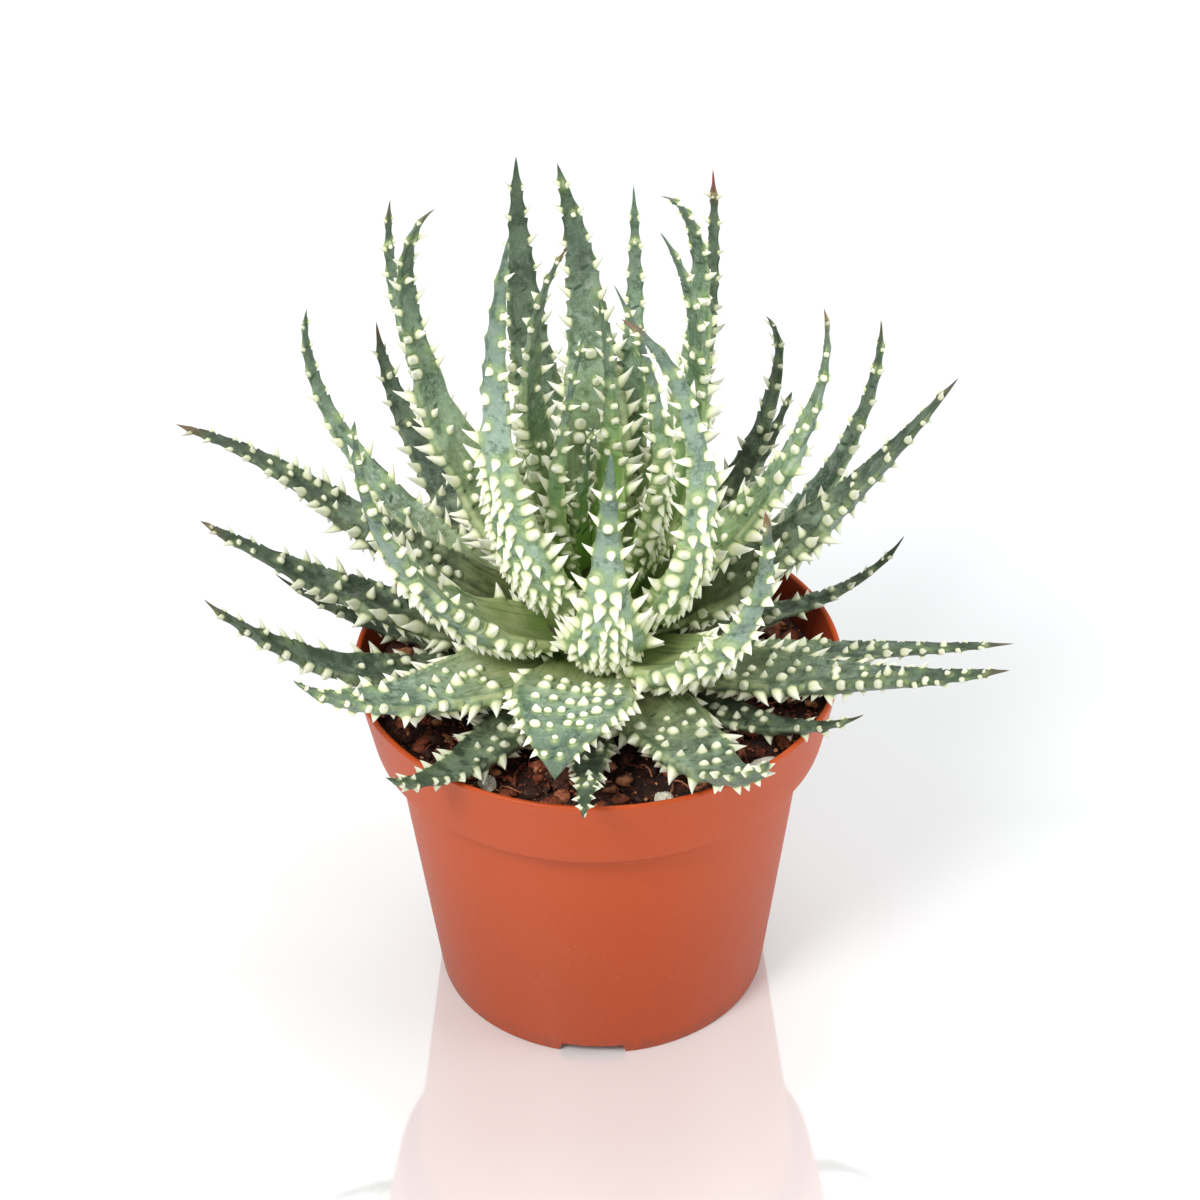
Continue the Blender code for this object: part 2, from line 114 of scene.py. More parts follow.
# Bark chips and crumbs
CHIP_COUNT = 1150
CRUMB_COUNT = 2600
CHIP_LEAST = 0.0011
CHIP_SPREAD = 0.0046
CHIP_POWER = 2.6
CRUMB_SIZES = (0.0006, 0.0014)
CHIPS_FROM = 0.010
CHIP_REACH = 0.62
CHIP_WIDTHS = (0.5, 0.9)
CHIP_HEIGHTS = (0.30, 0.62)
CHIP_ROUGH = 0.42
CHIP_GRAIN = 2.6
CHIP_REST = 0.16

# Coir fibres
FIBRE_COUNT = 90
FIBRE_SIDES = 6
FIBRE_STOPS = 9
FIBRE_LENGTHS = (0.004, 0.014)
FIBRE_GIRTHS = (0.00014, 0.00028)
FIBRES_FROM = 0.018
FIBRES_INSIDE = 0.006
FIBRE_CURVE = 140
FIBRE_REST = 0.0005
FIBRE_BOW = 0.0012
FIBRE_TAPER = 0.25

# Pumice granules: azimuth, distance from the axis, length, width, height
GRANULES = (
    (318, 0.0535, 0.0090, 0.0060, 0.0045),
    (236, 0.0480, 0.0055, 0.0042, 0.0034),
    (288, 0.0490, 0.0050, 0.0040, 0.0032),
)
GRANULE_LUMPS = ((3.0, 0.16), (9.0, 0.07))
GRANULE_DENTS = (20.0, 0.05)
GRANULE_CUT = -0.30
GRANULE_TURN = 60

# Crown that the leaves grow from
CROWN_RADIUS = 0.0145
CROWN_TALL = 0.027
CROWN_BASE = POT_HEIGHT - 0.002
SEAT_GAP = 0.0006

# Leaves: the same middle lines and widths as their solids
SPREAD_BY = 0.22
FOOT_SHARE = 0.80
PLAIN_POWER = 0.8
TAIL_SHARE = 0.42
TAIL_POWER = 0.62
FOOT_LENGTH = 0.33
FOOT_START = -0.06
WRAP_BY = 0.30
WRAP_MOST = 1.15
WRAP_RADIUS = 0.006
THICK_SHARE = 0.30
FOOT_THICK_SHARE = 0.16
THICK_LEAST = 0.0009
CHANNEL = 0.16
HANDLE = 0.36
SWAY_POWER = 3.0
SEAT_HIGHEST = 0.999
FRAME_STEP = 0.01
# A leaf's section: the level of its edges, the height of its upper face and the depth of
# its back as shares of the thickness, and how square each face is
EDGE_LEVEL = -0.06
UPPER_HIGH = 0.22
UPPER_SQUARE = 5
BACK_DEEP = 0.78
BACK_SQUARE = 2.2
BACK_FULL = 0.6
# How a leaf waves in width and twists, in degrees
WAVE = 0.05
WAVE_GRAIN = 5.0
TWIST = 9.0
# The grid of a leaf's skin: the size of its cells, its girth over its width, the fewest
# and most columns, and how far its last ring lies along it
CELL = 0.00092
CELL_LEAST = 0.00060
CELL_NARROWS = 0.42
GIRTH = 2.5
COLUMNS = (16, 64)
COLUMNS_IN = 8
LAST_RING = 0.985
# Where the upper face starts, as a run of the section's height
UPPER_RUN = (-0.22, -0.02)

# Teeth
TOOTH_HEIGHT = 0.0046
TOOTH_BASE = 0.0036
TOOTH_AT_FOOT = 0.52
TOOTH_GROWTH = 2.2
TOOTH_FADE = 0.12
TOOTH_TIP_FADE = 0.48
# Kinds of teeth: height, length along the leaf and width as shares of the largest, how
# far it leans towards the tip, and how far the skin swells round it and how widely
Kind = namedtuple("Kind", "tall long wide lean swell reach")
KINDS = {
    "edge": Kind(1.00, 1.05, 0.88, 0.28, 0.0013, 0.0021),
    "back": Kind(0.68, 0.84, 0.84, -0.72, 0.0007, 0.0016),
    "upper": Kind(0.70, 0.84, 0.86, 0.22, 0.0004, 0.0013),
    "wart": Kind(0.36, 0.74, 0.76, 0.05, 0.0006, 0.0015),
}
SWELL_MOST = 0.0015
# How far the pale halo of a tooth lies towards the leaf's tip, and how much wider it is
HALO_AHEAD = 0.0006
HALO_WIDER = 1.10
HALO_LEAST_TONE = 0.38
# Each level of a tooth and of a low wart: its width and height as shares, and its tone
TOOTH_LEVELS = ((0.84, 0.05, 0.00), (0.68, 0.22, 0.38), (0.45, 0.52, 0.66), (0.21, 0.79, 0.88))
WART_LEVELS = ((0.88, 0.20, 0.04), (0.70, 0.56, 0.42), (0.44, 0.84, 0.70), (0.20, 0.96, 0.90))
TOOTH_ROUND = 0.88
HOOK = 0.48
EDGE_HOOK = 0.20
# How teeth differ by chance, and by the width of their leaf
SIZE_SPREAD = (0.80, 1.18)
UPPER_SPREAD = (0.82, 1.22)
LEAN_SPREAD = 0.20
TILT_SPREAD = 0.22
NARROW_SIZE = 0.60
BROAD_LEAF = 0.018
SHORTENED = 0.3
# How they change along a leaf, each as a run of its length, or of its rise over the rim
# in the first, and what the change goes from and to
LOW_LEAF_TALL = (0.014, 0.034, 0.76, 1.0)
BACK_TALL = (0.22, 0.45, 0.84, 1.0)
UPPER_TALL = (0.20, 0.42, 0.45, 1.0)
BACK_LEANS = (0.28, 0.80, 0.0, 0.82)
STEEP_EDGE_TALL = (0.75, 0.35, 0.0, 0.18)
STEEP_BACK_SIZE = (0.30, 0.50, 0.0, 0.16)

# Rows of teeth: where they start and end, as shares of a leaf's length; how far apart
# rows and the teeth in a row are low down, further out and on steep leaves; and the
# share of teeth that is missing
FIRST_ROW = 0.055
LAST_ROW = 0.965
APART = (0.36, 0.70)
PITCH = (0.28, 0.50, 0.0025, 0.0034)
PITCH_APART = 0.0013
PITCH_STEEP = 0.0028
BESIDE = (0.32, 0.58, 0.0024, 0.0031)
BESIDE_APART = 0.0019
SHIFT_UNTIL = 0.6
EDGE_MISSING = 0.03
BACK_MISSING = 0.02
BACK_MISSING_APART = 0.06
# Teeth on the upper face
UPPER_FIRST = 0.18
UPPER_FIRST_STEEP = 0.06
UPPER_PITCH = 0.0035
UPPER_PITCH_STEEP = (0.3, 0.5, 0.0, 0.0045)
UPPER_BESIDE = 0.0040
UPPER_FROM = 0.06
UPPER_ACROSS = 0.38
UPPER_JITTER = 0.36
UPPER_MISSING = 0.10
UPPER_MISSING_STEEP = 0.25
WART_SHARE = 0.55

# One leaf: the azimuth that it grows at; how far its tip reaches from the pot's axis
# and rises over the rim; the height of its seat over the crown's base; its slope in
# degrees at the seat and at the tip; how far its tip sways to the left; its width; and
# how drawn out it is: 1 for a broad foot and a slim end, 0 for an even taper, and less
# for a blunt end.
Leaf = namedtuple("Leaf", "azimuth reach rise seat leave end sway width slim")
LEAVES = [Leaf(*row) for row in (
    (234, 0.083, 0.016, 0, 8, 46, 0, 0.0185, 0.4),
    (326, 0.075, 0.0125, -0.001, -3, 42, 0, 0.0148, 0.4),
    (267, 0.076, 0.01, -0.001, -2, 8, 0, 0.013, 0.1),
    (87.5, 0.076, 0.01, -0.001, 2, 12, 0, 0.0094, 0.1),
    (168.5, 0.081, 0.0145, -0.001, 6, 38, 0, 0.0105, 0.3),
    (17, 0.08, 0.018, 0.0015, 12, 58, 0, 0.0115, 0.5),
    (297, 0.084, 0.025, 0.004, -2, 58, 0, 0.0247, 0.1),
    (144.5, 0.07, 0.013, 0, 1, 30, 0, 0.011, 0.3),
    (335.5, 0.105, 0.026, 0.005, 8, 24, 0, 0.0198, 0.15),
    (213, 0.084, 0.028, 0.007, 6, 50, 0, 0.0252, 0.3),
    (260, 0.06, 0.008, 0.008, 11, -66, 0, 0.0264, -1.6),
    (193, 0.095, 0.034, 0.002, -5, 52, 0, 0.0188, 0.1),
    (59, 0.078, 0.01, -0.001, 3, 20, 0, 0.0108, 0.2),
    (115, 0.076, 0.01, -0.001, 1, 20, 0, 0.0096, 0.2),
    (356.5, 0.1015, 0.006, -0.0005, 10, 6, 0, 0.0135, 0.1),
    (175, 0.096, 0.036, 0.0065, 8, 34, 0, 0.019, 0.1),
    (168.5, 0.103, 0.056, 0.012, 14, 13, 0, 0.019, 0.22),
    (7, 0.087, 0.072, 0.011, 22, 52, 0, 0.021, 0.1),
    (312, 0.057, 0.071, 0.009, 14, 101, 0, 0.026, 0.85),
    (125.8, 0.094, 0.05, 0.004, 5, 85, 0, 0.016, 0.2),
    (208, 0.061, 0.088, 0.013, 22, 92, 0, 0.024, 0.55),
    (82, 0.077, 0.06, 0.003, 16, 70, 0, 0.015, 0.8),
    (106, 0.078, 0.06, 0.0065, 21, 70, 0, 0.0145, 0.8),
    (51, 0.08, 0.036, 0.0035, 10, 50, 0, 0.014, 0.5),
    (145.3, 0.085, 0.071, 0.0092, 2, 105, 0, 0.0158, 0.7),
    (24.2, 0.076, 0.076, 0.007, 8, 95, 0, 0.016, 0.65),
    (43.5, 0.058, 0.072, 0.01, 10, 130, 0, 0.0125, 0.5),
    (11, 0.055, 0.092, 0.019, 26, 99, 0, 0.019, 0.65),
    (275, 0.021, 0.073, 0.0135, 26, 100, 0.002, 0.024, 0.9),
    (131, 0.074, 0.097, 0.012, 20, 104, 0, 0.0155, 0.8),
    (141, 0.047, 0.109, 0.018, 22, 138, 0, 0.02, 0.75),
    (325, 0.008, 0.099, 0.017, 40, 164, 0, 0.0205, 0.65),
    (220, 0.024, 0.127, 0.019, 60, 104, 0, 0.024, 0.65),
    (59, 0.057, 0.108, 0.012, 25, 97, 0, 0.014, 0.75),
    (107, 0.061, 0.107, 0.014, 28, 97, 0, 0.0185, 0.1),
    (77, 0.055, 0.101, 0.015, 35, 83, 0.002, 0.013, 0.5),
    (89, 0.058, 0.105, 0.022, 57, 94, 0.009, 0.0205, 0.2),
    (53, 0.027, 0.116, 0.018, 38, 150, 0, 0.0145, 0.6),
    (29, 0.018, 0.114, 0.022, 51, 120, 0, 0.0165, 0.6),
    (148, 0.006, 0.114, 0.0245, 70, 122, 0, 0.014, 0.6),
    (350, 0.005, 0.106, 0.024, 68, 115, 0, 0.014, 0.6),
    (60, 0.003, 0.1, 0.026, 78, 105, 0, 0.0095, 0.8),
    (205, 0.002, 0.093, 0.025, 73, 105, 0, 0.0085, 0.8),
    (145, 0, 0.068, 0.026, 86, 102, 0, 0.006, 0.8),
)]
# What sets a leaf apart, by its number, from 0 for the usual: how far painted shade darkens
# and greys it, how green a young one is, and how far its tip has dried, red or brown
TINTS = {
    "painted_shade": {1: 0.8, 2: 0.8, 3: 0.6, 4: 0.6, 5: 0.9, 6: 0.8, 7: 0.45, 8: 0.7, 9: 0.5, 10: 0.05, 11: 0.05,
              12: 0.7, 13: 0.6, 14: 0.6, 15: 0.6, 16: 0.7, 17: 0.7, 18: 0.55, 20: 0.75, 21: 0.1, 22: 0.5,
              23: 0.5, 24: 0.6, 26: 0.15, 27: 0.8, 31: 0.25, 34: 0.4, 35: 0.4, 37: 0.35, 40: 0.3, 41: 0.2},
    "young": {19: 0.1, 21: 0.1, 28: 0.25, 29: 0.15, 30: 0.15, 31: 0.25, 32: 0.3, 33: 0.2, 34: 0.2, 35: 0.2,
              36: 0.4, 37: 0.35, 38: 0.5, 39: 0.65, 40: 0.5, 41: 0.8, 42: 1.0, 43: 1.0, 44: 1.0},
    "red_tip": {34: 0.9, 32: 0.5, 18: 0.2},
    "brown_tip": {19: 0.9, 28: 0.8, 32: 0.6, 40: 0.8, 17: 0.7, 38: 0.3, 9: 0.4, 15: 0.4, 12: 0.4, 16: 0.5,
                  20: 0.4, 26: 0.4, 30: 0.4, 31: 0.5, 2: 0.3},
}


# Small tools

def srgb(colour):
    """A colour of screen values from 0 to 255, made linear. A socket stays as it is."""
    if not isinstance(colour, tuple):
        return colour
    shares = [value / 255 for value in colour]
    return [x / 12.92 if x <= 0.04045 else ((x + 0.055) / 1.055) ** 2.4 for x in shares] + [1.0]


def smooth(value, low, high):
    """Runs smoothly from 0 to 1 as value goes from low to high."""
    share = np.clip((value - low) / (high - low), 0.0, 1.0)
    return share * share * (3 - 2 * share)


def ease(value, low, high, start, end):
    """Runs smoothly from start to end as one number goes from low to high."""
    return start + (end - start) * float(smooth(value, low, high))


def polar(azimuth, distance, height):
    angle = radians(azimuth)
    return np.array((distance * cos(angle), distance * sin(angle), height))


def unit(rows):
    return rows / np.maximum(np.linalg.norm(rows, axis=-1, keepdims=True), 1e-12)


def new_object(name, data):
    thing = bpy.data.objects.new(name, data)
    bpy.context.scene.collection.objects.link(thing)
    return thing


def add_piece(mesh, look, slot, node=None, **marks):
    """Makes a mesh a piece of the object, with marks that its material reads."""
    for name, values in marks.items():
        write_attribute(mesh, name, values)
    mesh.materials.append(look)
    thing = new_object(mesh.name, mesh)
    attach(thing, "root")
    if node:
        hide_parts(node)
    return thing


def mesh_of(name, points, faces):
    """A mesh of these points and faces, without the points that no face uses."""
    used = np.unique(np.concatenate([np.asarray(face) for face in faces]))
    place = np.full(len(points), -1)
    place[used] = np.arange(len(used))
    mesh = bpy.data.meshes.new(name)
    mesh.from_pydata(points[used].tolist(), [], [tuple(place[list(face)].tolist()) for face in faces])
    mesh.shade_smooth()
    return mesh, used


def write_attribute(mesh, name, values):
    values = np.asarray(values, np.float32)
    if values.ndim == 1:
        mesh.attributes.new(name, "FLOAT", "POINT").data.foreach_set("value", values)
    else:
        mesh.attributes.new(name, "FLOAT_VECTOR", "POINT").data.foreach_set("vector", values.ravel())


def bridge(low, high):
    """Faces between two loops of as many points."""
    return list(zip(low, low[1:] + low[:1], high[1:] + high[:1], high))


def fan(loop, point):
    """Triangles from a loop to one point."""
    return list(zip(loop, loop[1:] + loop[:1], [point] * len(loop)))


class Surface:
    """Collects the points, marks and faces of one mesh."""

    def __init__(self):
        self.points = []
        self.marks = []
        self.faces = []
        self.count = 0

    def add(self, points, marks):
        """Adds points and a row of marks for each, or for all, and tells the first's number."""
        points = np.atleast_2d(points)
        marks = np.atleast_2d(marks)
        self.points.append(points)
        self.marks.append(np.broadcast_to(marks, (len(points), marks.shape[1])))
        first = self.count
        self.count += len(points)
        return first

    def mesh(self, name):
        mesh, used = mesh_of(name, np.concatenate(self.points), self.faces)
        return mesh, np.concatenate(self.marks)[used]


# Materials

class Look:
    """A material built from nodes round one Principled shader."""

    def __init__(self, name):
        self.made = bpy.data.materials.new(name)
        self.made.use_nodes = True
        self.tree = self.made.node_tree
        self.shader = self.tree.nodes["Principled BSDF"]

    def put(self, socket, value):
        if isinstance(value, bpy.types.NodeSocket):
            self.tree.links.new(value, socket)
        else:
            socket.default_value = value

    def node(self, kind, inputs, **settings):
        made = self.tree.nodes.new("ShaderNode" + kind)
        for name, value in settings.items():
            setattr(made, name, value)
        for name, value in inputs.items():
            self.put(made.inputs[name], value)
        return made

    def attribute(self, name, output="Fac"):
        return self.node("Attribute", {}, attribute_name=name).outputs[output]

    def place(self):
        return self.node("TexCoord", {}).outputs["Object"]

    def math(self, operation, first, second):
        return self.node("Math", {0: first, 1: second}, operation=operation).outputs[0]

    def times(self, *factors):
        """The product of sockets and numbers, and of ramps given as tuples of their values."""
        first, *others = [self.ramp(*one) if isinstance(one, tuple) else one for one in factors]
        for other in others:
            first = self.math("MULTIPLY", first, other)
        return first

    def ramp(self, value, low, high, start=0.0, end=1.0):
        """Runs smoothly from start to end as value goes from low to high."""
        inputs = {"Value": value, "From Min": low, "From Max": high, "To Min": start, "To Max": end}
        return self.node("MapRange", inputs, interpolation_type="SMOOTHSTEP").outputs["Result"]

    def mix(self, share, first, second, mode="MIX"):
        inputs = {0: share, 6: srgb(first), 7: srgb(second)}
        return self.node("Mix", inputs, data_type="RGBA", blend_type=mode).outputs[2]

    def over(self, colour, *layers):
        """Lays colours over a first one, each by a share or by a ramp (value, low, high, most)."""
        for share, *layer in layers:
            if isinstance(share, tuple):
                share = self.ramp(*share[:3], 0.0, *share[3:])
            colour = self.mix(share, colour, *layer)
        return colour

    def noise(self, vector, scale, detail=3.0, roughness=0.55):
        inputs = {"Vector": vector, "Scale": scale, "Detail": detail, "Roughness": roughness}
        return self.node("TexNoise", inputs).outputs["Fac"]

    def voronoi(self, vector, scale, output="Distance"):
        return self.node("TexVoronoi", {"Vector": vector, "Scale": scale}).outputs[output]

    def stretch(self, vector, scale, shear=0.0):
        """Vector scaled by three numbers, its first part first sheared by its second."""
        if shear:
            parts = self.node("SeparateXYZ", {0: vector}).outputs
            slid = self.math("ADD", parts[0], self.times(parts[1], shear))
            vector = self.node("CombineXYZ", {0: slid, 1: parts[1], 2: parts[2]}).outputs[0]
        return self.node("VectorMath", {0: vector, 1: scale}, operation="MULTIPLY").outputs[0]

    def bump(self, height, distance, strength=1.0, under=None):
        inputs = {"Height": height, "Distance": distance, "Strength": strength}
        if under is not None:
            inputs["Normal"] = under
        return self.node("Bump", inputs).outputs["Normal"]

    def finish(self, colour, roughness, normal, ior=None):
        self.put(self.shader.inputs["Base Color"], colour)
        self.put(self.shader.inputs["Roughness"], roughness)
        self.put(self.shader.inputs["Normal"], normal)
        if ior:
            self.shader.inputs["IOR"].default_value = ior
        return self.made


def dashes(look, flat):
    """Short dark dashes: where one in a dozen or so cells of a slanted grid has its spot."""
    place = look.stretch(flat, (780.0, 290.0, 7.3), 0.4)
    chance = look.node("SeparateColor", {0: look.voronoi(place, 1.0, "Color")}).outputs[0]
    return look.times((look.voronoi(place, 1.0), 0.28, 0.46, 1.0, 0.0), (chance, 0.925, 0.935))


def leaf_look():
    look = Look("aloe_leaf")
    where = look.place()
    marks = ("along", "upper", "edge", "tooth", "halo", "painted_shade")
    along, upper, edge, tooth, halo, painted_shade = map(look.attribute, marks)
    flat = look.attribute("flat", "Vector")
    broad = look.noise(where, 55.0, 2.0)
    patch = look.noise(where, 130.0, 3.0, 0.6)
    mottle = look.noise(where, 260.0, 4.0, 0.65)
    frost = look.noise(where, 420.0, 3.0, 0.7)
    fine = look.noise(where, 1500.0, 2.0)
    lines = look.noise(look.stretch(flat, (22.0, 950.0, 7.0)), 1.0, 2.0)

    bloom = look.mix(upper, (164, 186, 172), (152, 176, 150))
    margin = look.times((edge, 0.66, 0.90), (patch, 0.42, 0.56, 0.0, 0.60), upper)
    skin = look.over(
        (102, 124, 120),
        (upper, (98, 121, 104)),
        ((broad, 0.33, 0.58, 0.90), bloom),
        ((mottle, 0.48, 0.64, 0.80), (62, 84, 70)),
        ((frost, 0.50, 0.66, 0.50), (196, 210, 198)),
        ((fine, 0.52, 0.70, 0.50), (192, 204, 186)),
        (margin, (62, 100, 60)),
        ((along, 0.35, 1.0, 0.75), (64, 86, 62)),
    )

    base = look.over(
        (152, 168, 106),
        ((look.noise(where, 120.0), 0.35, 0.7), (188, 194, 142)),
        (look.ramp(along, 0.0, 0.10, 0.75, 0.0), (112, 140, 62)),
        ((lines, 0.50, 0.66, 0.55), (104, 132, 76)),
    )
    upper_base = look.times(upper, (along, 0.12, 0.52, 0.70, 0.0))
    base_share = look.math("ADD", look.ramp(along, 0.03, 0.26, 0.92, 0.0), upper_base)
    young = look.times(look.attribute("young"), (along, 0.15, 0.85, 0.90, 0.0))
    veins = look.times((lines, 0.52, 0.7, 0.0, 0.30), (along, 0.2, 0.6, 1.0, 0.25))
    dash = look.times(dashes(look, flat), (upper, 0.2, 0.8, 0.25, 1.0), (along, 0.12, 0.25), 0.85)
    rim = look.times((edge, 0.90, 0.99), (along, 0.10, 0.80, 0.75, 0.10))
    cream = look.over(
        (236, 238, 188),
        ((tooth, 0.25, 0.80), (252, 252, 236)),
        # painted shade: the teeth of shaded leaves are dimmed
        (look.times(painted_shade, 0.75), (170, 176, 146)),
    )
    tooth_share = look.ramp(tooth, 0.02, 0.52)
    face = look.over(
        skin,
        (base_share, base),
        (young, (114, 158, 62)),
        (veins, (92, 124, 100)),
        (dash, (40, 70, 46)),
        (rim, (206, 212, 160)),
        ((halo, 0.22, 0.80, 0.62), (140, 166, 100)),
        ((halo, 0.62, 1.0, 0.70), (212, 218, 170)),
        # painted shade: shaded leaves get dark patches, then are darkened and greyed
        (look.times(painted_shade, (patch, 0.40, 0.58, 0.15, 0.90)), (54, 68, 50)),
        (look.times(painted_shade, 0.80), (140, 142, 120), "MULTIPLY"),
        (tooth_share, cream),
        (look.times(look.attribute("red_tip"), (along, 0.90, 1.0)), (150, 66, 70)),
        (look.times(look.attribute("brown_tip"), (along, 0.91, 0.99)), (120, 84, 58)),
    )

    rough = look.math("SUBTRACT", look.ramp(mottle, 0.3, 0.7, 0.46, 0.66), look.times(tooth_share, 0.08))
    normal = look.bump(look.noise(where, 700.0, 3.0), 0.00022, 0.8)
    normal = look.bump(lines, 0.00012, 0.5, normal)
    return look.finish(face, rough, normal, 1.42)


def stem_look():
    look = Look("aloe_stem")
    where = look.place()
    patch = look.noise(where, 160.0, 4.0)
    rings = look.noise(look.stretch(where, (60.0, 60.0, 900.0)), 1.0, 2.0)
    colour = look.over(
        (104, 116, 62),
        ((patch, 0.35, 0.65), (70, 84, 40)),
        ((rings, 0.5, 0.62, 0.6), (60, 50, 32)),
    )
    return look.finish(colour, look.ramp(patch, 0.3, 0.7, 0.55, 0.8), look.bump(rings, 0.0003))


def pot_look():
    look = Look("pot_plastic")
    where = look.place()
    height = look.node("SeparateXYZ", {0: where}).outputs[2]
    inner = look.attribute("inside")
    cloud = look.noise(where, 14.0, 2.0)
    speck = look.noise(where, 900.0, 3.0, 0.7)
    scuff = look.noise(look.stretch(where, (90.0, 90.0, 900.0)), 1.0, 3.0, 0.7)
    grime = look.noise(where, 330.0, 4.0, 0.7)
    low = look.times((height, 0.001, 0.007, 0.55, 0.0), (grime, 0.42, 0.62))
    dusty = look.times(inner, (height, 0.082, 0.091, 1.0, 0.0), (grime, 0.38, 0.6))
    colour = look.over(
        (154, 57, 12),
        # painted shade: the wall is darker towards its foot
        ((height, 0.0, 0.078), (175, 68, 17)),
        ((cloud, 0.35, 0.7, 0.45), (165, 59, 11)),
        ((speck, 0.56, 0.74, 0.30), (200, 108, 76)),
        ((scuff, 0.62, 0.74, 0.16), (206, 124, 96)),
        (low, (116, 60, 42)),
        # painted shade: the inside wall is darker
        (look.times(inner, 0.75), (128, 46, 28)),
        (dusty, (70, 36, 26)),
    )
    rough = look.math("ADD", look.ramp(speck, 0.3, 0.75, 0.42, 0.52), look.ramp(scuff, 0.6, 0.74, 0.0, 0.08))
    normal = look.bump(look.noise(where, 2600.0, 2.0), 0.00002, 0.5)
    normal = look.bump(scuff, 0.00002, 0.3, normal)
    return look.finish(colour, rough, normal, 1.37)


def soil_look():
    look = Look("soil")
    where = look.place()
    patch = look.noise(where, 240.0, 5.0, 0.65)
    grain = look.noise(where, 1100.0, 4.0, 0.7)
    colour = look.over(
        (30, 15, 10),
        ((patch, 0.38, 0.64), (84, 42, 27)),
        ((grain, 0.55, 0.72, 0.7), (126, 76, 50)),
        ((grain, 0.44, 0.30, 0.8), (20, 11, 9)),
    )
    normal = look.bump(patch, 0.0010, 0.8, look.bump(grain, 0.0007))
    return look.finish(colour, look.ramp(grain, 0.3, 0.7, 0.72, 0.96), normal)


def bark_look():
    look = Look("bark_chips")
    tint = look.attribute("tint")
    grain = look.noise(look.stretch(look.place(), (700.0, 700.0, 1600.0)), 1.0, 4.0, 0.65)
    colour = look.over(
        (56, 26, 16),
        ((tint, 0.15, 0.55), (136, 64, 38)),
        ((tint, 0.70, 0.95), (210, 142, 98)),
        ((grain, 0.50, 0.66, 0.75), (44, 20, 13)),
        ((grain, 0.44, 0.32, 0.55), (192, 128, 88)),
    )
    return look.finish(colour, look.ramp(grain, 0.3, 0.7, 0.58, 0.9), look.bump(grain, 0.0004))


def pumice_look():
    look = Look("pumice")
    where = look.place()
    pits = look.voronoi(where, 1500.0)
    cloud = look.noise(where, 420.0, 4.0)
    colour = look.over(
        (246, 242, 230),
        ((cloud, 0.35, 0.65), (230, 222, 202)),
        ((pits, 0.30, 0.12, 0.75), (140, 120, 96)),
    )
    normal = look.bump(look.ramp(pits, 0.1, 0.4), 0.0003)
    return look.finish(colour, look.ramp(cloud, 0.3, 0.7, 0.8, 0.95), normal)


def floor_look():
    look = Look("floor")
    where = look.place()
    cloud = look.noise(where, 3.0, 2.0)
    colour = look.over((234, 238, 239), ((cloud, 0.3, 0.7), (236, 240, 241)))
    normal = look.bump(look.noise(where, 900.0), 0.00001, 0.2)
    return look.finish(colour, look.ramp(cloud, 0.3, 0.7, 0.03, 0.05), normal, 3.8)


# Leaf shape

def leaf_width(leaf, s):
    """Full width at shares s of the length: clasping foot, full blade, long drawn tip."""
    s = np.clip(s, 0.0, 1.0)
    plain = (1 - s) ** PLAIN_POWER
    drawn = TAIL_SHARE * (1 - s) ** TAIL_POWER + (1 - TAIL_SHARE) * np.exp(-(s / FOOT_LENGTH) ** 2)
    foot = FOOT_SHARE + (1 - FOOT_SHARE) * smooth(s, 0.0, SPREAD_BY)
    return leaf.width * foot * (plain + leaf.slim * (drawn - plain))


def leaf_thickness(leaf, s):
    share = FOOT_THICK_SHARE + (THICK_SHARE - FOOT_THICK_SHARE) * smooth(s, 0.0, SPREAD_BY)
    return share * leaf_width(leaf, s) + THICK_LEAST * np.sqrt(1 - np.clip(s, 0.0, 1.0))


class LeafPath:
    """The middle line of a leaf: a cubic curve in an upright plane, swayed to one side."""

    def __init__(self, leaf):
        self.leaf = leaf
        share = min(SEAT_HIGHEST, leaf.seat / CROWN_TALL)
        self.seat_radius = (CROWN_RADIUS + SEAT_GAP) * sqrt(1 - share * share)
        self.out = polar(leaf.azimuth, 1.0, 0.0)
        self.side = polar(leaf.azimuth + 90, 1.0, 0.0)
        start = np.array((self.seat_radius, CROWN_BASE + leaf.seat))
        tip = np.array((leaf.reach, POT_HEIGHT + leaf.rise))
        handle = HANDLE * np.linalg.norm(tip - start)
        leave = radians(leaf.leave)
        end = radians(leaf.end)
        self.points = (
            start,
            start + handle * np.array((cos(leave), sin(leave))),
            tip - handle * np.array((cos(end), sin(end))),
            tip,
        )
        stops = self.at(np.linspace(0.0, 1.0, num=49))
        self.length = float(np.linalg.norm(np.diff(stops, axis=0), axis=1).sum())

    def at(self, s):
        s = np.asarray(s, float)[:, None]
        a, b, c, d = self.points
        r = 1 - s
        flat = a * r ** 3 + b * (3 * r * r * s) + c * (3 * r * s * s) + d * s ** 3
        sway = self.leaf.sway * np.maximum(s, 0.0) ** SWAY_POWER
        return self.out * flat[:, :1] + np.array((0, 0, 1.0)) * flat[:, 1:] + self.side * sway

    def frames(self, s):
        """Middle points, directions, sideways and up (towards the heart) at shares s."""
        along = unit(self.at(np.minimum(1.0, s + FRAME_STEP)) - self.at(s - FRAME_STEP))
        side = unit(self.side - along * (along @ self.side)[:, None])
        return self.at(s), along, side, np.cross(along, side)


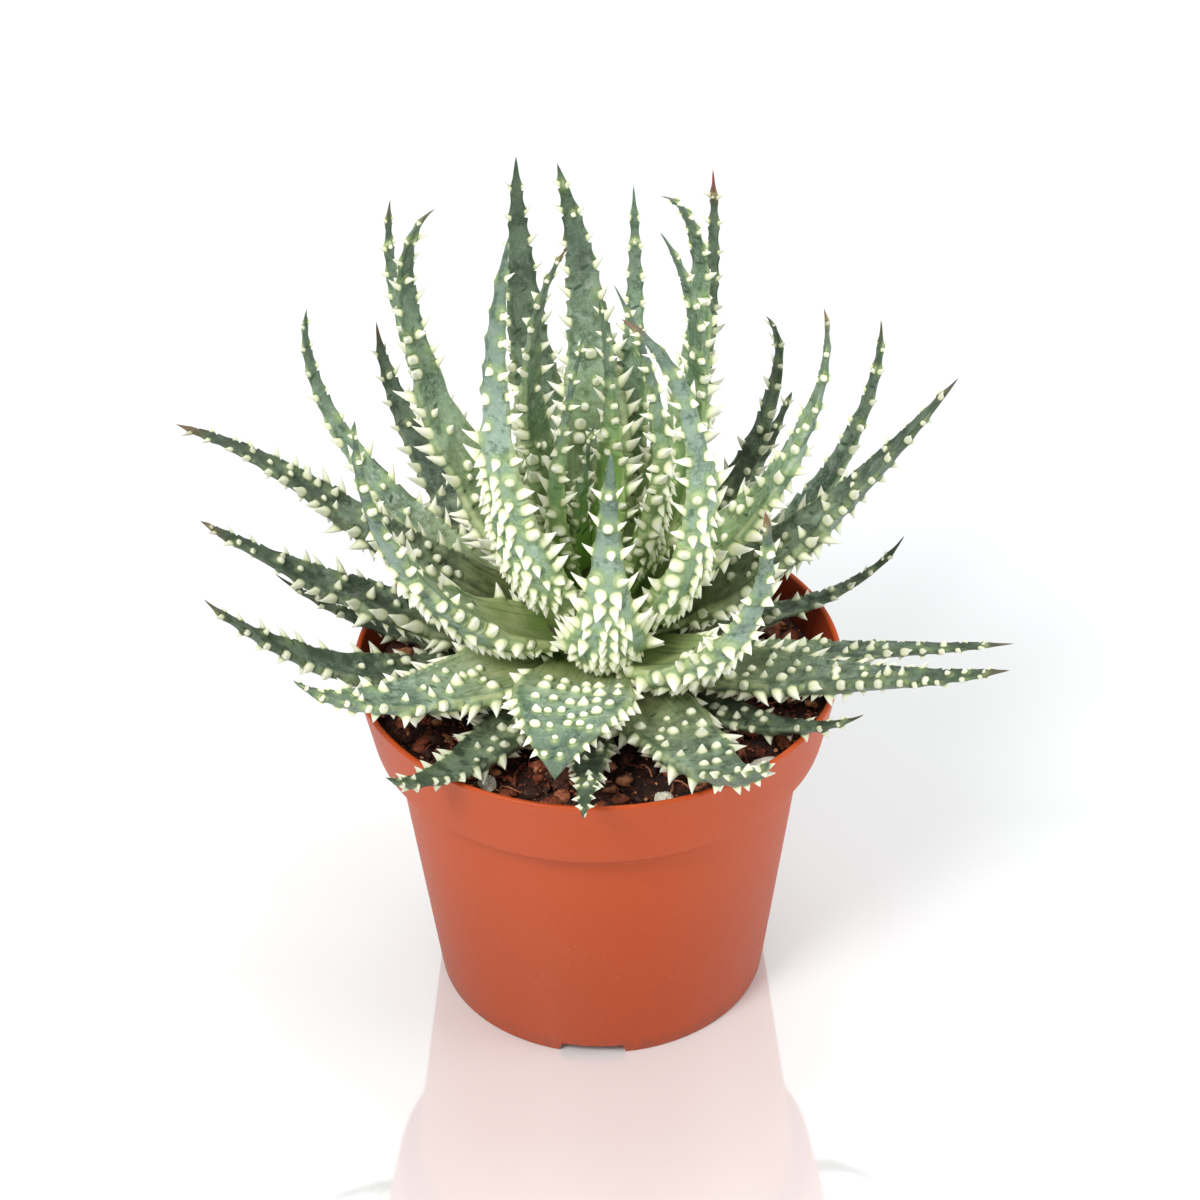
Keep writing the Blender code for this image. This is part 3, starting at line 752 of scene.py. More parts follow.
def leaf_section(columns):
    """Across and up shares at each column: the upper face first, from its left edge."""
    across = np.cos(np.linspace(0.0, pi, 400))
    upper = EDGE_LEVEL + UPPER_HIGH * np.sqrt(1 - np.abs(across) ** UPPER_SQUARE)
    lower = EDGE_LEVEL - BACK_DEEP * (1 - np.abs(across) ** BACK_SQUARE) ** BACK_FULL
    found = []
    for rise, run in ((upper, across), (lower[::-1], across[::-1])):
        steps = np.hypot(np.diff(run), 0.65 * np.diff(rise))
        length = np.concatenate(((0.0,), np.cumsum(steps)))
        wanted = np.linspace(0.0, length[-1], columns // 2 + 1)[:-1]
        found.append(np.stack((np.interp(wanted, length, run), np.interp(wanted, length, rise))))
    return np.concatenate(found, axis=1)


def tooth_share(s):
    """A tooth's size as a share of the largest: small at the foot and the tip."""
    young = min(1.0, TOOTH_AT_FOOT + TOOTH_GROWTH * s)
    return young * (1 - TOOTH_FADE * s - TOOTH_TIP_FADE * s ** 3)


# A block of cells that a tooth grows from: its first ring and column, how many rings and
# cells it covers, and how many columns a cell steps over there
Block = namedtuple("Block", "ring column rings many step")
Tooth = namedtuple("Tooth", "block name tall lean tilt")


class LeafSkin:
    """A leaf's surface as a grid of rings and columns, with teeth growing from its cells."""

    def __init__(self, number, leaf):
        self.number = number
        self.leaf = leaf
        self.path = LeafPath(leaf)
        self.random = np.random.RandomState(seed=700 + number)
        self.steep = min(1.0, max(0.0, leaf.end / 90))
        self.shares = self.ring_shares()
        girth = GIRTH * leaf_width(leaf, self.shares).max()
        self.columns = int(np.clip(round(girth / CELL / COLUMNS_IN) * COLUMNS_IN, *COLUMNS))
        self.across, self.up = leaf_section(self.columns)
        self.upper = smooth(self.up, *UPPER_RUN)
        self.steps = self.column_steps()
        self.points = self.surface()
        self.normals = self.surface_normals()
        self.forward = self.path.frames(self.shares)[1]
        self.held = np.zeros((len(self.shares) - 1, self.columns), bool)
        self.teeth = []

    def ring_shares(self):
        shares = [FOOT_START]
        while shares[-1] < LAST_RING:
            shares.append(shares[-1] + CELL * (1 - CELL_NARROWS * max(0.0, shares[-1])) / self.path.length)
        shares[-1] = LAST_RING
        return np.array(shares)

    def column_steps(self):
        """How many columns each ring steps over, more where the leaf is narrow."""
        steps = []
        step = 1
        for s in self.shares:
            cell = GIRTH * float(leaf_width(self.leaf, s)) * step / self.columns
            halves = self.columns % (2 * step) == 0 and self.columns >= 2 * step * COLUMNS_IN
            if cell < CELL_LEAST and halves:
                step *= 2
            steps.append(step)
        return steps

    def surface(self):
        s = self.shares
        path = self.path
        middle, _, side, upward = path.frames(s)
        half = leaf_width(self.leaf, s)[:, None] / 2
        thick = leaf_thickness(self.leaf, s)[:, None]
        wave = np.array([noise.noise((share * WAVE_GRAIN, self.number * 3.7, 0.5)) for share in s])[:, None]
        lean = radians(TWIST) * self.random.uniform(-1, 1) * smooth(s, 0.2, 1.0)[:, None]
        x = half * self.across * (1 + WAVE * wave)
        lift = thick * self.up + CHANNEL * half * self.across ** 2
        x, lift = x * np.cos(lean) - lift * np.sin(lean), x * np.sin(lean) + lift * np.cos(lean)
        wrap = 1 - smooth(s, 0.0, WRAP_BY)[:, None]
        radius = max(path.seat_radius, WRAP_RADIUS)
        turn = np.clip(x / radius, -WRAP_MOST, WRAP_MOST)
        aside = x + (radius * np.sin(turn) - x) * wrap
        back = radius * (1 - np.cos(turn)) * wrap
        points = middle[:, None] + side[:, None] * aside[..., None] + upward[:, None] * lift[..., None]
        return points - path.out * back[..., None]

    def surface_normals(self):
        across = np.roll(self.points, -1, axis=1) - np.roll(self.points, 1, axis=1)
        return unit(np.cross(across, np.gradient(self.points, axis=0)))

    def claim(self, ring, cell, rings, many):
        """Holds a block of free cells for a tooth, unless a cell is taken or the columns change."""
        if ring < 1 or ring + rings > len(self.shares) - 2:
            return None
        if len(set(self.steps[ring:ring + rings + 1])) > 1:
            return None
        step = self.steps[ring]
        cells = np.arange(cell * step, (cell + many) * step) % self.columns
        if self.held[ring:ring + rings][:, cells].any():
            return None
        self.held[ring:ring + rings, cells[:, None]] = True
        return Block(ring, cell * step, rings, many, step)

    def tooth_size(self, name, s, size):
        """A tooth's share of the largest, for its base, and its height."""
        toss = self.random.uniform
        size *= toss(*SIZE_SPREAD) * min(1.0, NARROW_SIZE + (1 - NARROW_SIZE) * self.leaf.width / BROAD_LEAF)
        if name in ("upper", "wart"):
            size *= toss(*UPPER_SPREAD)
        tall = KINDS[name].tall * TOOTH_HEIGHT * size
        if name in ("edge", "upper"):
            tall *= ease(self.leaf.rise, *LOW_LEAF_TALL)
        if name == "edge":
            tall *= 1 + self.steep * ease(s, *STEEP_EDGE_TALL)
        elif name == "back":
            tall *= ease(s, *BACK_TALL)
            size *= 1 + self.steep * ease(s, *STEEP_BACK_SIZE)
        elif name == "upper":
            tall *= ease(s, *UPPER_TALL)
        return size, tall

    def add_tooth(self, ring, place, name, size):
        """A tooth by a ring, at a share of the way round, where its cells are free."""
        toss = self.random.uniform
        kind = KINDS[name]
        s = float(self.shares[ring])
        size, tall = self.tooth_size(name, s, size)
        base = TOOTH_BASE * size
        cells = self.columns // self.steps[ring]
        many = int(np.clip(round(kind.wide * base / self.cell_width(ring, place)), 2, cells // 3))
        rings = int(np.clip(round(kind.long * base / self.ring_gap(ring)), 2, 5))
        cell = round(place * cells - many / 2)
        slides = (int(self.random.randint(-1, 2)), 0, 1, -1)
        for fewer, slide in [(fewer, slide) for fewer in range(rings - 1) for slide in slides]:
            block = self.claim(ring + slide, cell, rings - fewer, many)
            if block:
                tall *= 1 - SHORTENED * fewer / rings
                lean = kind.lean + (ease(s, *BACK_LEANS) if name == "back" else 0.0)
                lean += toss(-LEAN_SPREAD, LEAN_SPREAD)
                self.teeth.append(Tooth(block, name, tall, lean, toss(-TILT_SPREAD, TILT_SPREAD)))
                break

    def cell_width(self, ring, place):
        half = self.columns // 2
        part = slice(0, half + 1) if place % 1.0 < 0.5 else slice(half, None)
        run = np.linalg.norm(np.diff(self.points[ring, part], axis=0), axis=1).sum()
        return run / half * self.steps[ring]

    def ring_gap(self, ring):
        return (self.shares[ring + 1] - self.shares[ring]) * self.path.length

    def plan_teeth(self):
        """Close rows low down on the back, then rings of a few teeth further out."""
        ring = int(np.searchsorted(self.shares, FIRST_ROW))
        row = 0
        next_upper = 0.0
        while ring < len(self.shares) - 6 and self.shares[ring] < LAST_ROW:
            if len(set(self.steps[ring:ring + 3])) > 1:
                ring += 1
                continue
            s = float(self.shares[ring])
            apart = float(smooth(s, *APART))
            self.add_row(ring, apart, row % 2 == 1 and apart < SHIFT_UNTIL)
            reached = s * self.path.length
            if s > UPPER_FIRST + UPPER_FIRST_STEEP * self.steep and reached > next_upper:
                next_upper = reached + UPPER_PITCH + self.steep * ease(s, *UPPER_PITCH_STEEP)
                self.add_upper_row(ring)
            pitch = ease(s, *PITCH) + (PITCH_APART + PITCH_STEEP * self.steep) * apart
            ring += max(3, round(pitch / self.ring_gap(ring)))
            row += 1

    def add_row(self, ring, apart, shifted):
        """Teeth across the back and on both edges. A shifted row's outermost are its edge teeth."""
        toss = self.random.uniform
        s = float(self.shares[ring])
        size = tooth_share(s)
        run = self.cell_width(ring, 0.75) * self.columns / self.steps[ring] / 2
        many = max(1, int(run / (ease(s, *BESIDE) + BESIDE_APART * apart)) - 1)
        if not shifted:
            for place in (0.0, 0.5):
                if toss() > EDGE_MISSING:
                    self.add_tooth(ring, place, "edge", size)
        many += shifted
        for spot in range(many):
            place = 0.5 + 0.5 * ((spot + 0.5) / many if shifted else (spot + 1) / (many + 1))
            if toss() > BACK_MISSING + BACK_MISSING_APART * apart:
                outermost = shifted and spot in (0, many - 1)
                self.add_tooth(ring, place, "edge" if outermost else "back", size)

    def add_upper_row(self, ring):
        toss = self.random.uniform
        s = float(self.shares[ring])
        many = max(1, round(float(leaf_width(self.leaf, s)) / UPPER_BESIDE))
        for spot in range(many):
            place = UPPER_FROM + UPPER_ACROSS * (spot + 0.5 + toss(-UPPER_JITTER, UPPER_JITTER)) / many
            if toss() > UPPER_MISSING + UPPER_MISSING_STEEP * self.steep:
                name = "wart" if toss() < WART_SHARE else "upper"
                self.add_tooth(ring + int(self.random.randint(0, 3)), place, name, tooth_share(s))

    def middle_of(self, block):
        """The point and the normal in the middle of a block of cells, and the column there."""
        ring = block.ring + block.rings / 2
        spot = (block.column + block.many * block.step / 2) % self.columns
        left, right = floor(spot), ceil(spot) % self.columns
        corners = [(turn, column) for turn in (floor(ring), ceil(ring)) for column in (left, right)]
        point = np.mean([self.points[at] for at in corners], axis=0)
        return point, unit(np.mean([self.normals[at] for at in corners], axis=0)), left

    def swell(self):
        """Lifts the skin round every tooth, and notes how near each point is to one."""
        self.near = np.zeros(self.points.shape[:2])
        lift = np.zeros(self.points.shape[:2])

        def closeness(spot, reach):
            return np.exp(-((self.points - spot) ** 2).sum(axis=-1) / (2 * reach * reach))

        for block, name, tall, _, _ in self.teeth:
            kind = KINDS[name]
            point, normal, _ = self.middle_of(block)
            facing = np.clip(self.normals @ normal, 0.0, 1.0)
            reach = kind.reach * (0.50 + 0.50 * tall / TOOTH_HEIGHT)
            lift += kind.swell * tall / TOOTH_HEIGHT * closeness(point, reach) * facing
            ahead = self.forward[block.ring + block.rings // 2] * HALO_AHEAD
            self.near = np.maximum(self.near, closeness(point + ahead, HALO_WIDER * reach) * facing)
        self.points = self.points + self.normals * np.minimum(lift, SWELL_MOST)[..., None]

    def skin_faces(self, grid):
        """Faces between the rings, in threes where a ring has half the points of the last."""
        faces = []
        for ring, (low, high) in enumerate(zip(grid, grid[1:])):
            step, after = self.steps[ring], self.steps[ring + 1]
            for column in range(0, self.columns, after):
                end = (column + after) % self.columns
                half = column + step
                if after != step:
                    faces.append((low[column], low[half], high[column]))
                    faces.append((low[half], high[end], high[column]))
                    faces.append((low[half], low[end], high[end]))
                elif not self.held[ring, column]:
                    faces.append((low[column], low[end], high[end], high[column]))
        return faces

    def grow_tooth(self, tooth, grid, half, surface):
        """Raises a tooth from the loop round its block: shrinking levels, then its peak."""
        block, name, tall, lean, tilt = tooth
        first, column, rings, many, step = block
        far = column + many * step
        loop = [(first, (column + i * step) % self.columns) for i in range(many)]
        loop += [(first + i, far % self.columns) for i in range(rings)]
        loop += [(first + rings, (far - i * step) % self.columns) for i in range(many)]
        loop += [(first + rings - i, column % self.columns) for i in range(rings)]
        corners = np.array([self.points[at] for at in loop])
        normal = unit(np.mean([self.normals[at] for at in loop], axis=0))
        ahead = self.forward[first + rings // 2]
        middle = corners.mean(axis=0)
        spread = corners - middle
        spread -= np.outer(spread @ normal, normal)
        radius = np.linalg.norm(spread, axis=1, keepdims=True)
        even = spread / radius * radius.mean()
        foot = (1 - TOOTH_ROUND) * spread + TOOTH_ROUND * even
        grow = unit(normal + ahead * lean + np.cross(normal, ahead) * tilt)
        hook = HOOK * lean + (EDGE_HOOK if name == "edge" else 0.0)
        spot = self.middle_of(block)[2]
        common = (self.shares[first + rings // 2], half[first, 0] * self.across[spot], self.upper[spot], 0.0)
        halo = float(np.mean([self.near[at] for at in loop]))
        ids = [int(grid[at]) for at in loop]
        for shrink, rise, tone in WART_LEVELS if name == "wart" else TOOTH_LEVELS:
            level = middle + foot * shrink + grow * (tall * rise)
            near = halo + (1 - halo) * min(1.0, tone / HALO_LEAST_TONE)
            start = surface.add(level + ahead * (hook * tall * rise * rise), (tone, near, *common))
            fresh = list(range(start, start + len(loop)))
            surface.faces += bridge(ids, fresh)
            ids = fresh
        peak = surface.add(middle + grow * tall + ahead * (hook * tall), (1.0, 1.0, *common))
        surface.faces += fan(ids, peak)

    def build(self, look):
        self.plan_teeth()
        self.swell()
        shape = self.points.shape[:2]
        grid = np.arange(self.points.size // 3).reshape(shape)
        half = leaf_width(self.leaf, self.shares)[:, None] / 2
        marks = (np.zeros(shape), self.near, self.shares[:, None], half * self.across, self.upper,
                 np.abs(self.across))
        surface = Surface()
        rows = np.stack([np.broadcast_to(values, shape).ravel() for values in marks], axis=1)
        surface.add(self.points.reshape(-1, 3), rows)
        foot = surface.add(self.points[0].mean(axis=0), (0, 0, FOOT_START, 0, 0.5, 0))
        tip = surface.add(self.path.at([1.0]), (0, 0, 1.0, 0, 0.5, 0))
        surface.faces += self.skin_faces(grid)
        surface.faces += fan(grid[0, ::self.steps[0]].tolist()[::-1], foot)
        surface.faces += fan(grid[-1, ::self.steps[-1]].tolist(), tip)
        for tooth in self.teeth:
            self.grow_tooth(tooth, grid, half, surface)
        node = f"leaf_{self.number:02d}"
        mesh, marks = surface.mesh("aloe_" + node)
        tooth, halo, along, across, upper, edge = marks.T
        flat = np.stack((along * self.path.length, across, np.full(len(along), float(self.number))), axis=1)
        tints = {name: np.full(len(along), table.get(self.number, 0.0)) for name, table in TINTS.items()}
        add_piece(mesh, look, "leaf", node, tooth=tooth, halo=halo, along=along, upper=upper, edge=edge,
                  flat=flat, **tints)


# Pot

def wall_radius(height):
    """The outer wall's radius below the band."""
    return FOOT_RADIUS + (WALL_TOP_RADIUS - FOOT_RADIUS) * height / LEDGE


def band_radius(height):
    share = (POT_HEIGHT - height) / BAND_HEIGHT
    return RIM_RADIUS + (BAND_LOW_RADIUS - RIM_RADIUS) * share


def arc(centre, radius, start, end, count):
    """Points (radius, height) on a small arc, from start to end degrees."""
    turns = np.radians(np.linspace(start, end, count))
    return [(centre[0] + radius * cos(turn), centre[1] + radius * sin(turn)) for turn in turns]


def turned(name, outline, steps):
    """A closed mesh: a profile of (radius, height) points turned about Z, its ends on the axis."""
    rings = np.array(outline[1:-1])
    turns = np.linspace(0.0, tau, steps, endpoint=False)
    points = np.stack((rings[:, :1] * np.cos(turns), rings[:, :1] * np.sin(turns),
                       np.broadcast_to(rings[:, 1:], (len(rings), steps))), axis=-1).reshape(-1, 3)
    points = np.concatenate((points, [(0, 0, outline[0][1]), (0, 0, outline[-1][1])]))
    first, last = len(points) - 2, len(points) - 1
    faces = []
    for step in range(steps):
        after = (step + 1) % steps
        faces.append((first, step, after))
        for ring in range(len(rings) - 1):
            low, high = ring * steps, (ring + 1) * steps
            faces.append((low + step, high + step, high + after, low + after))
        base = (len(rings) - 1) * steps
        faces.append((last, base + after, base + step))
    mesh = mesh_of(name, points, faces)[0]
    face_outward(mesh)
    return mesh


def face_outward(mesh):
    form = bmesh.new()
    form.from_mesh(mesh)
    bmesh.ops.recalc_face_normals(form, faces=form.faces[:])
    form.to_mesh(mesh)
    form.free()


def points_of(mesh):
    return np.array([vertex.co for vertex in mesh.vertices])


def cutter(name, form, place, azimuth):
    mesh = bpy.data.meshes.new(name)
    form.to_mesh(mesh)
    form.free()
    thing = new_object(name, mesh)
    thing.location = place
    thing.rotation_euler = (0.0, 0.0, radians(azimuth))
    return thing


def notch_cutter(azimuth):
    """A block across the foot ring, narrower at its top."""
    form = bmesh.new()
    size = (4 * FOOT_RING_WIDTH, NOTCH_WIDTH - NOTCH_FLARE, 2 * NOTCH_HEIGHT)
    bmesh.ops.create_cube(form, size=1.0)
    bmesh.ops.scale(form, vec=size, verts=form.verts)
    for corner in form.verts:
        corner.co.y += copysign(2 * NOTCH_FLARE, corner.co.y) if corner.co.z < 0 else 0.0
    return cutter("notch", form, polar(azimuth, FOOT_RADIUS - FOOT_RING_WIDTH / 2, 0.0), azimuth)


def drain_cutter(number):
    form = bmesh.new()
    bmesh.ops.create_cone(form, cap_ends=True, segments=32, radius1=DRAIN_RADIUS,
                          radius2=DRAIN_RADIUS, depth=4 * WALL)
    place = polar(number * 360 / DRAIN_COUNT, DRAIN_CIRCLE, FOOT_RING_HEIGHT + WALL / 2)
    return cutter("drain", form, place, DRAIN_TURN + number * DRAIN_TURN_STEP)


def cut(thing, cutters):
    """Cuts the cutters out of an object's mesh, and removes them."""
    for blade in cutters:
        boolean = thing.modifiers.new(blade.name, "BOOLEAN")
        boolean.operation = "DIFFERENCE"
        boolean.solver = "EXACT"
        boolean.object = blade
    bpy.context.view_layer.update()
    evaluated = thing.evaluated_get(bpy.context.evaluated_depsgraph_get())
    mesh = bpy.data.meshes.new_from_object(evaluated)
    thing.modifiers.clear()
    thing.data = mesh
    for blade in cutters:
        bpy.data.objects.remove(blade, do_unlink=True)
    return mesh


def pot_outline():
    """From the middle of the inner floor up over the rim and down to the middle underneath."""
    corner = wall_radius(FLOOR) - WALL - INNER_ROUND
    band_inside = LEDGE + WALL
    ring_inside = FOOT_RADIUS - FOOT_RING_WIDTH
    lip = WALL / 2
    outline = [(0.0, FLOOR), (FLOOR_RING, FLOOR), (corner, FLOOR)]
    outline += arc((corner, FLOOR + INNER_ROUND), INNER_ROUND, -70, 0, 5)
    outline += [(wall_radius(height) - WALL, height) for height in INNER_LEVELS]
    outline.append((wall_radius(band_inside - LEDGE_RISE) - WALL, band_inside - LEDGE_RISE))
    outline += [(band_radius(height) - WALL, height) for height in (band_inside, *BAND_LEVELS)]
    outline += arc((RIM_RADIUS - lip, POT_HEIGHT - lip), lip, 170, 10, 9)
    outline += [(band_radius(height), height) for height in (*BAND_LEVELS[::-1], LEDGE + BAND_FOOT)]
    outline += arc((band_radius(LEDGE) - EDGE_ROUND, LEDGE + EDGE_ROUND), EDGE_ROUND, 0, -80, 5)
    outline.append((WALL_TOP_RADIUS + LEDGE_FILLET[0], LEDGE - LEDGE_RISE + LEDGE_FILLET[1]))
    outline.append((WALL_TOP_RADIUS, LEDGE - LEDGE_RISE))
    outline += [(wall_radius(height), height) for height in OUTER_LEVELS]
    outline += arc((wall_radius(0.0) - EDGE_ROUND, EDGE_ROUND), EDGE_ROUND, -5, -90, 5)
    outline += [(ring_inside, 0.0), (ring_inside, FOOT_RING_HEIGHT), (FLOOR_RING, FOOT_RING_HEIGHT)]
    return outline + [(0.0, FOOT_RING_HEIGHT)]


def build_pot(look):
    pot = add_piece(turned("nursery_pot", pot_outline(), steps=144), look, "pot_plastic")
    cutters = [notch_cutter(azimuth) for azimuth in NOTCH_AZIMUTHS]
    cutters += [drain_cutter(number) for number in range(DRAIN_COUNT)]
    mesh = cut(pot, cutters)
    mesh.name = "nursery_pot"
    mesh.shade_smooth()
    mesh.set_sharp_from_angle(angle=radians(32))
    places = points_of(mesh)
    distance = np.hypot(places[:, 0], places[:, 1])
    height = places[:, 2]
    outside = np.where(height < LEDGE, wall_radius(height), band_radius(height))
    inside = (distance < outside - 0.9 * WALL) & (height > FOOT_RING_HEIGHT + 0.5 * WALL)
    write_attribute(mesh, "inside", inside.astype(float))
    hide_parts("pot")


# Soil and what lies on it

def soil_height(distance):
    """The soil's level: a low mound round the plant."""
    return SOIL_LEVEL + SOIL_MOUND * max(0.0, 1.0 - (distance / RIM_RADIUS) ** 2)


def soil_edge():
    return band_radius(SOIL_LEVEL) - WALL - GAP


def build_soil(look):
    edge = soil_edge()
    ledge = LEDGE + WALL
    radii = [edge * i / SOIL_RINGS for i in range(SOIL_RINGS + 1)]
    outline = [(radius, soil_height(radius)) for radius in radii]
    outline += [
        (band_radius(ledge) - WALL - GAP, ledge + GAP),
        (wall_radius(ledge - LEDGE_RISE) - WALL - GAP, ledge - LEDGE_RISE),
        (wall_radius(FLOOR) - WALL - GAP, FLOOR + GAP),
        (0.0, FLOOR + GAP),
    ]
    mesh = turned("soil_bed", outline, steps=160)
    places = points_of(mesh)
    for spot in places:
        distance = hypot(spot[0], spot[1])
        if spot[2] > SOIL_LEVEL - GAP:
            fade = min(1.0, (edge - distance) / SOIL_FADE + SOIL_FADE_LEAST)
            lumps = sum(high * noise.noise(Vector(spot) * grain) for grain, high in SOIL_LUMPS)
            spot[2] += fade * (lumps - SOIL_SINK)
    mesh.vertices.foreach_set("co", places.ravel())
    mesh.update()
    add_piece(mesh, look, "soil", "soil")


def lump(subdivisions):
    """A unit ball's points and triangles."""
    form = bmesh.new()
    bmesh.ops.create_icosphere(form, subdivisions=subdivisions, radius=0.5)
    form.verts.ensure_lookup_table()
    points = np.array([vertex.co for vertex in form.verts])
    faces = [tuple(vertex.index for vertex in face.verts) for face in form.faces]
    form.free()
    return points, faces


def turn_matrix(toss, tilt):
    angles = (toss(0, tau), toss(-tilt, tilt), toss(-tilt, tilt))
    about_z, about_x, about_y = (Matrix.Rotation(angle, 3, axis) for angle, axis in zip(angles, "ZXY"))
    return np.array(about_z @ (about_x @ about_y))


def build_chips(look):
    """Bits and crumbs of bark lying on the soil, in one piece."""
    toss = np.random.RandomState(seed=31).uniform
    kinds = (lump(2), lump(1))
    surface = Surface()
    for number in range(CHIP_COUNT + CRUMB_COUNT):
        ball, triangles = kinds[number >= CHIP_COUNT]
        size = CHIP_LEAST + CHIP_SPREAD * toss() ** CHIP_POWER
        if number >= CHIP_COUNT:
            size = toss(*CRUMB_SIZES)
        distance = sqrt(toss(CHIPS_FROM ** 2, (soil_edge() - CHIP_REACH * size) ** 2))
        azimuth = toss(0, 360)
        shape = np.array((1.0, toss(*CHIP_WIDTHS), toss(*CHIP_HEIGHTS)))
        seed = Vector((number * 1.7, 0.0, 3.1))
        rough = np.array([1 + CHIP_ROUGH * noise.noise(Vector(point) * CHIP_GRAIN + seed) for point in ball])
        chip = (ball * rough[:, None] * shape * size) @ turn_matrix(toss, tilt=0.5).T
        chip += polar(azimuth, distance, soil_height(distance) + CHIP_REST * size)
        first = surface.add(chip, toss())
        surface.faces += [tuple(first + index for index in triangle) for triangle in triangles]
    mesh, marks = surface.mesh("bark_chips")
    add_piece(mesh, look, "soil", tint=marks[:, 0])


def fibre_line(toss):
    """A strand's middle line: curved along the soil and bowed up over the chips."""
    length = toss(*FIBRE_LENGTHS)
    thick = toss(*FIBRE_GIRTHS)
    distance = sqrt(toss(FIBRES_FROM ** 2, (soil_edge() - FIBRES_INSIDE) ** 2))
    centre = polar(toss(0, 360), distance, 0.0)
    heading = toss(0, tau)
    curve = toss(-FIBRE_CURVE, FIBRE_CURVE)
    step = length / (FIBRE_STOPS - 1)
    spot = centre[:2] - 0.5 * length * np.array((cos(heading), sin(heading)))
    line = []
    for i in range(FIBRE_STOPS):
        spot = spot * min(1.0, (soil_edge() - 2 * GAP) / max(1e-6, np.linalg.norm(spot)))
        bow = sin(pi * i / (FIBRE_STOPS - 1))
        level = soil_height(np.linalg.norm(spot)) + FIBRE_REST + FIBRE_BOW * bow * toss(0.7, 1.1)
        line.append((spot[0], spot[1], level))
        heading += curve * step
        spot = spot + step * np.array((cos(heading), sin(heading)))
    return np.array(line), thick


def build_fibres(look):
    """Short coir strands lying over the chips."""
    toss = np.random.RandomState(seed=57).uniform
    turns = np.linspace(0, tau, FIBRE_SIDES, endpoint=False)[:, None]
    taper = np.sin(np.linspace(FIBRE_TAPER, pi - FIBRE_TAPER, FIBRE_STOPS)) ** 0.5
    surface = Surface()
    for _ in range(FIBRE_COUNT):
        line, thick = fibre_line(toss)
        along = unit(np.gradient(line, axis=0))
        side = unit(np.cross(along, (0, 0, 1.0)))
        ring = side[:, None] * np.cos(turns) + np.cross(side, along)[:, None] * np.sin(turns)
        tube = line[:, None] + ring * (thick * taper)[:, None, None]
        first = surface.add(tube.reshape(-1, 3), toss(0.5, 1.0))
        loops = np.arange(first, surface.count).reshape(-1, FIBRE_SIDES).tolist()
        for low, high in zip(loops, loops[1:]):
            surface.faces += bridge(low, high)
        surface.faces += [loops[0], loops[-1]]
    mesh, marks = surface.mesh("coir_fibres")
    add_piece(mesh, look, "soil", tint=marks[:, 0])
    face_outward(mesh)


def build_granule(number, row, look):
    azimuth, distance, length, width, height = row
    ball, triangles = lump(5)
    seed = Vector((number, 0, 0))
    dent_grain, dent_depth = GRANULE_DENTS
    points = []
    for spot in ball:
        place = Vector(spot)
        swell = 1.0 + sum(high * noise.noise(place * grain + seed) for grain, high in GRANULE_LUMPS)
        swell -= dent_depth * max(0.0, noise.noise(place * dent_grain + seed))
        points.append(place * swell)
    points = np.array(points)
    points[:, 2] = np.maximum(points[:, 2], GRANULE_CUT)
    points *= (length, width, height)
    points = points @ np.array(Matrix.Rotation(radians(azimuth + GRANULE_TURN), 3, "Z")).T
    points += polar(azimuth, distance, soil_height(distance - length / 2) + GAP - points[:, 2].min())
    mesh = mesh_of(f"pumice_{number}", points, triangles)[0]
    add_piece(mesh, look, "pumice", f"pumice_granule_{number}")


# Stage, light and camera

def build_floor(look):
    mesh = bpy.data.meshes.new("floor")
    form = bmesh.new()
    bmesh.ops.create_grid(form, x_segments=8, y_segments=8, size=6.0)
    form.to_mesh(mesh)
    form.free()
    mesh.materials.append(look)
    new_object("floor", mesh)


def build_lamp(name, place, size, power, colour):
    lamp = bpy.data.lights.new(name, "AREA")
    lamp.shape = "DISK"
    lamp.size = size
    lamp.energy = power
    lamp.color = colour
    thing = new_object(name, lamp)
    thing.location = place
    thing.rotation_euler = (Vector(LAMP_TARGET) - Vector(place)).to_track_quat("-Z", "Y").to_euler()


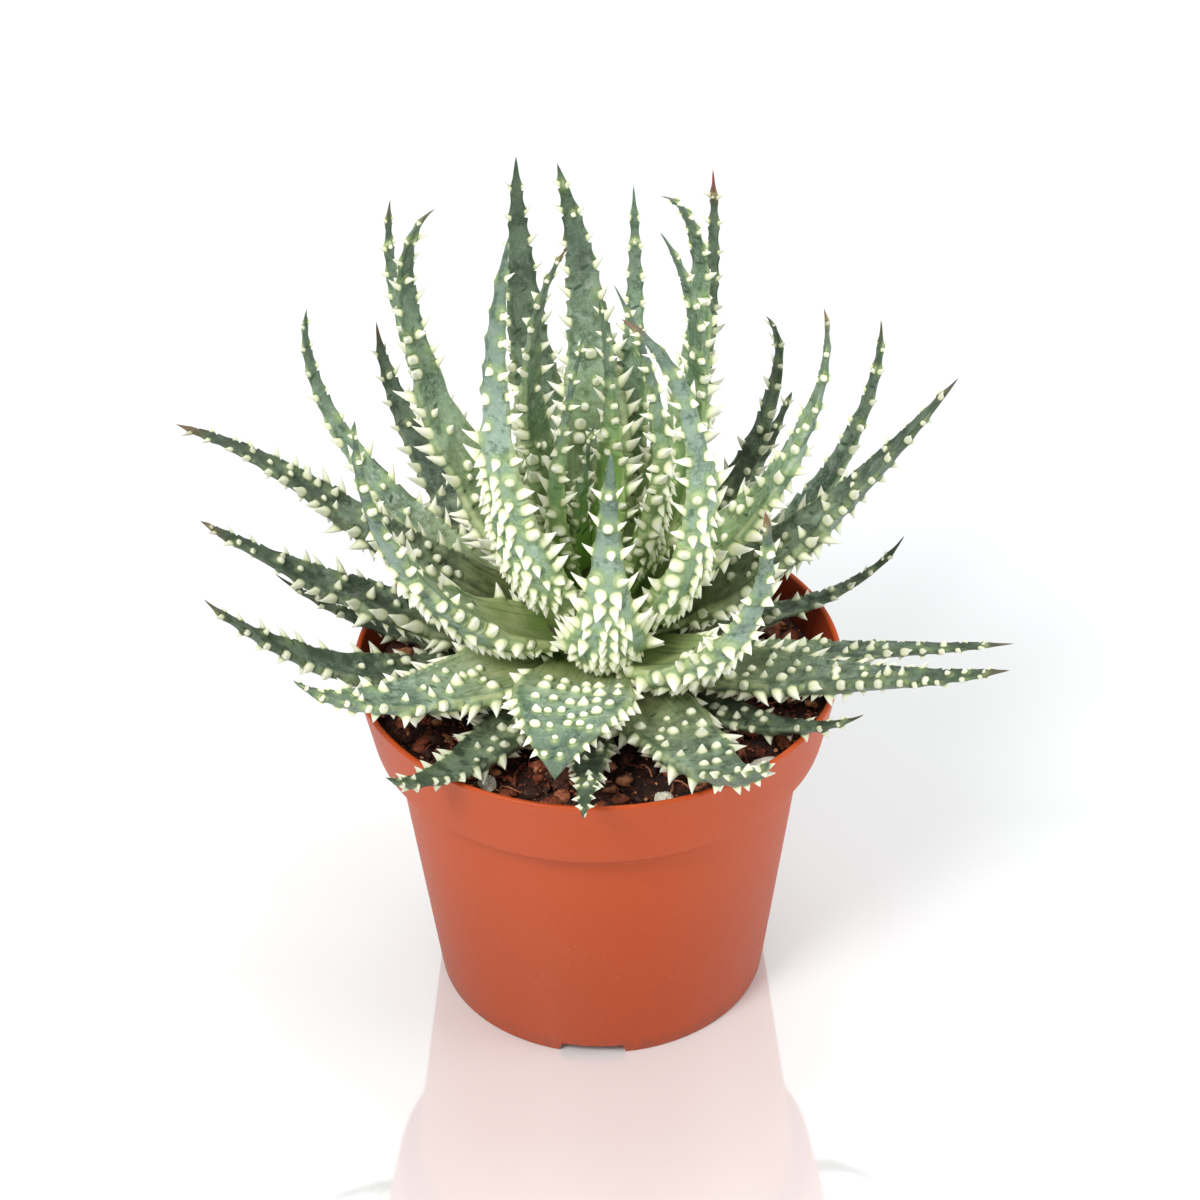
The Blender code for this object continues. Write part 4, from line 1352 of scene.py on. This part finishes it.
def build_sky():
    world = bpy.data.worlds.new("studio")
    world.use_nodes = True
    tree = world.node_tree
    sky = tree.nodes["Background"]
    sky.inputs["Color"].default_value = (1.0, 1.0, 1.0, 1.0)
    where = tree.nodes.new("ShaderNodeTexCoord")
    parts = tree.nodes.new("ShaderNodeSeparateXYZ")
    bright = tree.nodes.new("ShaderNodeMapRange")
    bright.interpolation_type = "SMOOTHSTEP"
    for name, value in zip(("From Min", "From Max", "To Min", "To Max"), (*SKY_FADE, SKY_LOW, SKY_HIGH)):
        bright.inputs[name].default_value = value
    tree.links.new(where.outputs["Generated"], parts.inputs[0])
    tree.links.new(parts.outputs[2], bright.inputs["Value"])
    tree.links.new(bright.outputs["Result"], sky.inputs["Strength"])
    bpy.context.scene.world = world


def build_camera():
    pitch = radians(VIEW_PITCH)
    forward = Vector((0.0, cos(pitch), -sin(pitch)))
    right = Vector((1.0, 0.0, 0.0))
    up = right.cross(forward)
    turn = Matrix((right, up, -forward)).transposed()
    turn = turn @ Matrix.Rotation(radians(VIEW_ROLL), 3, "Z")
    aside, below = ((pixel - IMAGE_SIDE / 2) / FOCAL_PIXELS for pixel in TARGET_PIXEL)
    turn = turn @ Matrix.Rotation(atan(below), 3, "X") @ Matrix.Rotation(atan(aside), 3, "Y")
    lens = bpy.data.cameras.new("camera")
    lens.sensor_width = SENSOR
    lens.lens = FOCAL_PIXELS / IMAGE_SIDE * SENSOR
    lens.clip_start = 0.01
    lens.clip_end = 30.0
    camera = new_object("camera", lens)
    place = Vector(VIEW_TARGET) - forward * VIEW_DISTANCE
    camera.matrix_world = Matrix.Translation(place) @ turn.to_4x4()
    bpy.context.scene.camera = camera


def build():
    bpy.context.scene.view_settings.view_transform = "Standard"
    build_camera()
    build_sky()
    for lamp in LAMPS:
        build_lamp(*lamp)
    build_floor(floor_look())
    build_pot(pot_look())
    build_soil(soil_look())
    bark = bark_look()
    build_chips(bark)
    build_fibres(bark)
    stone = pumice_look()
    for number, row in enumerate(GRANULES, start=1):
        build_granule(number, row, stone)
    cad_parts["stem"].material_slots[0].material = stem_look()
    green = leaf_look()
    for number, leaf in enumerate(LEAVES, start=1):
        LeafSkin(number, leaf).build(green)


build()
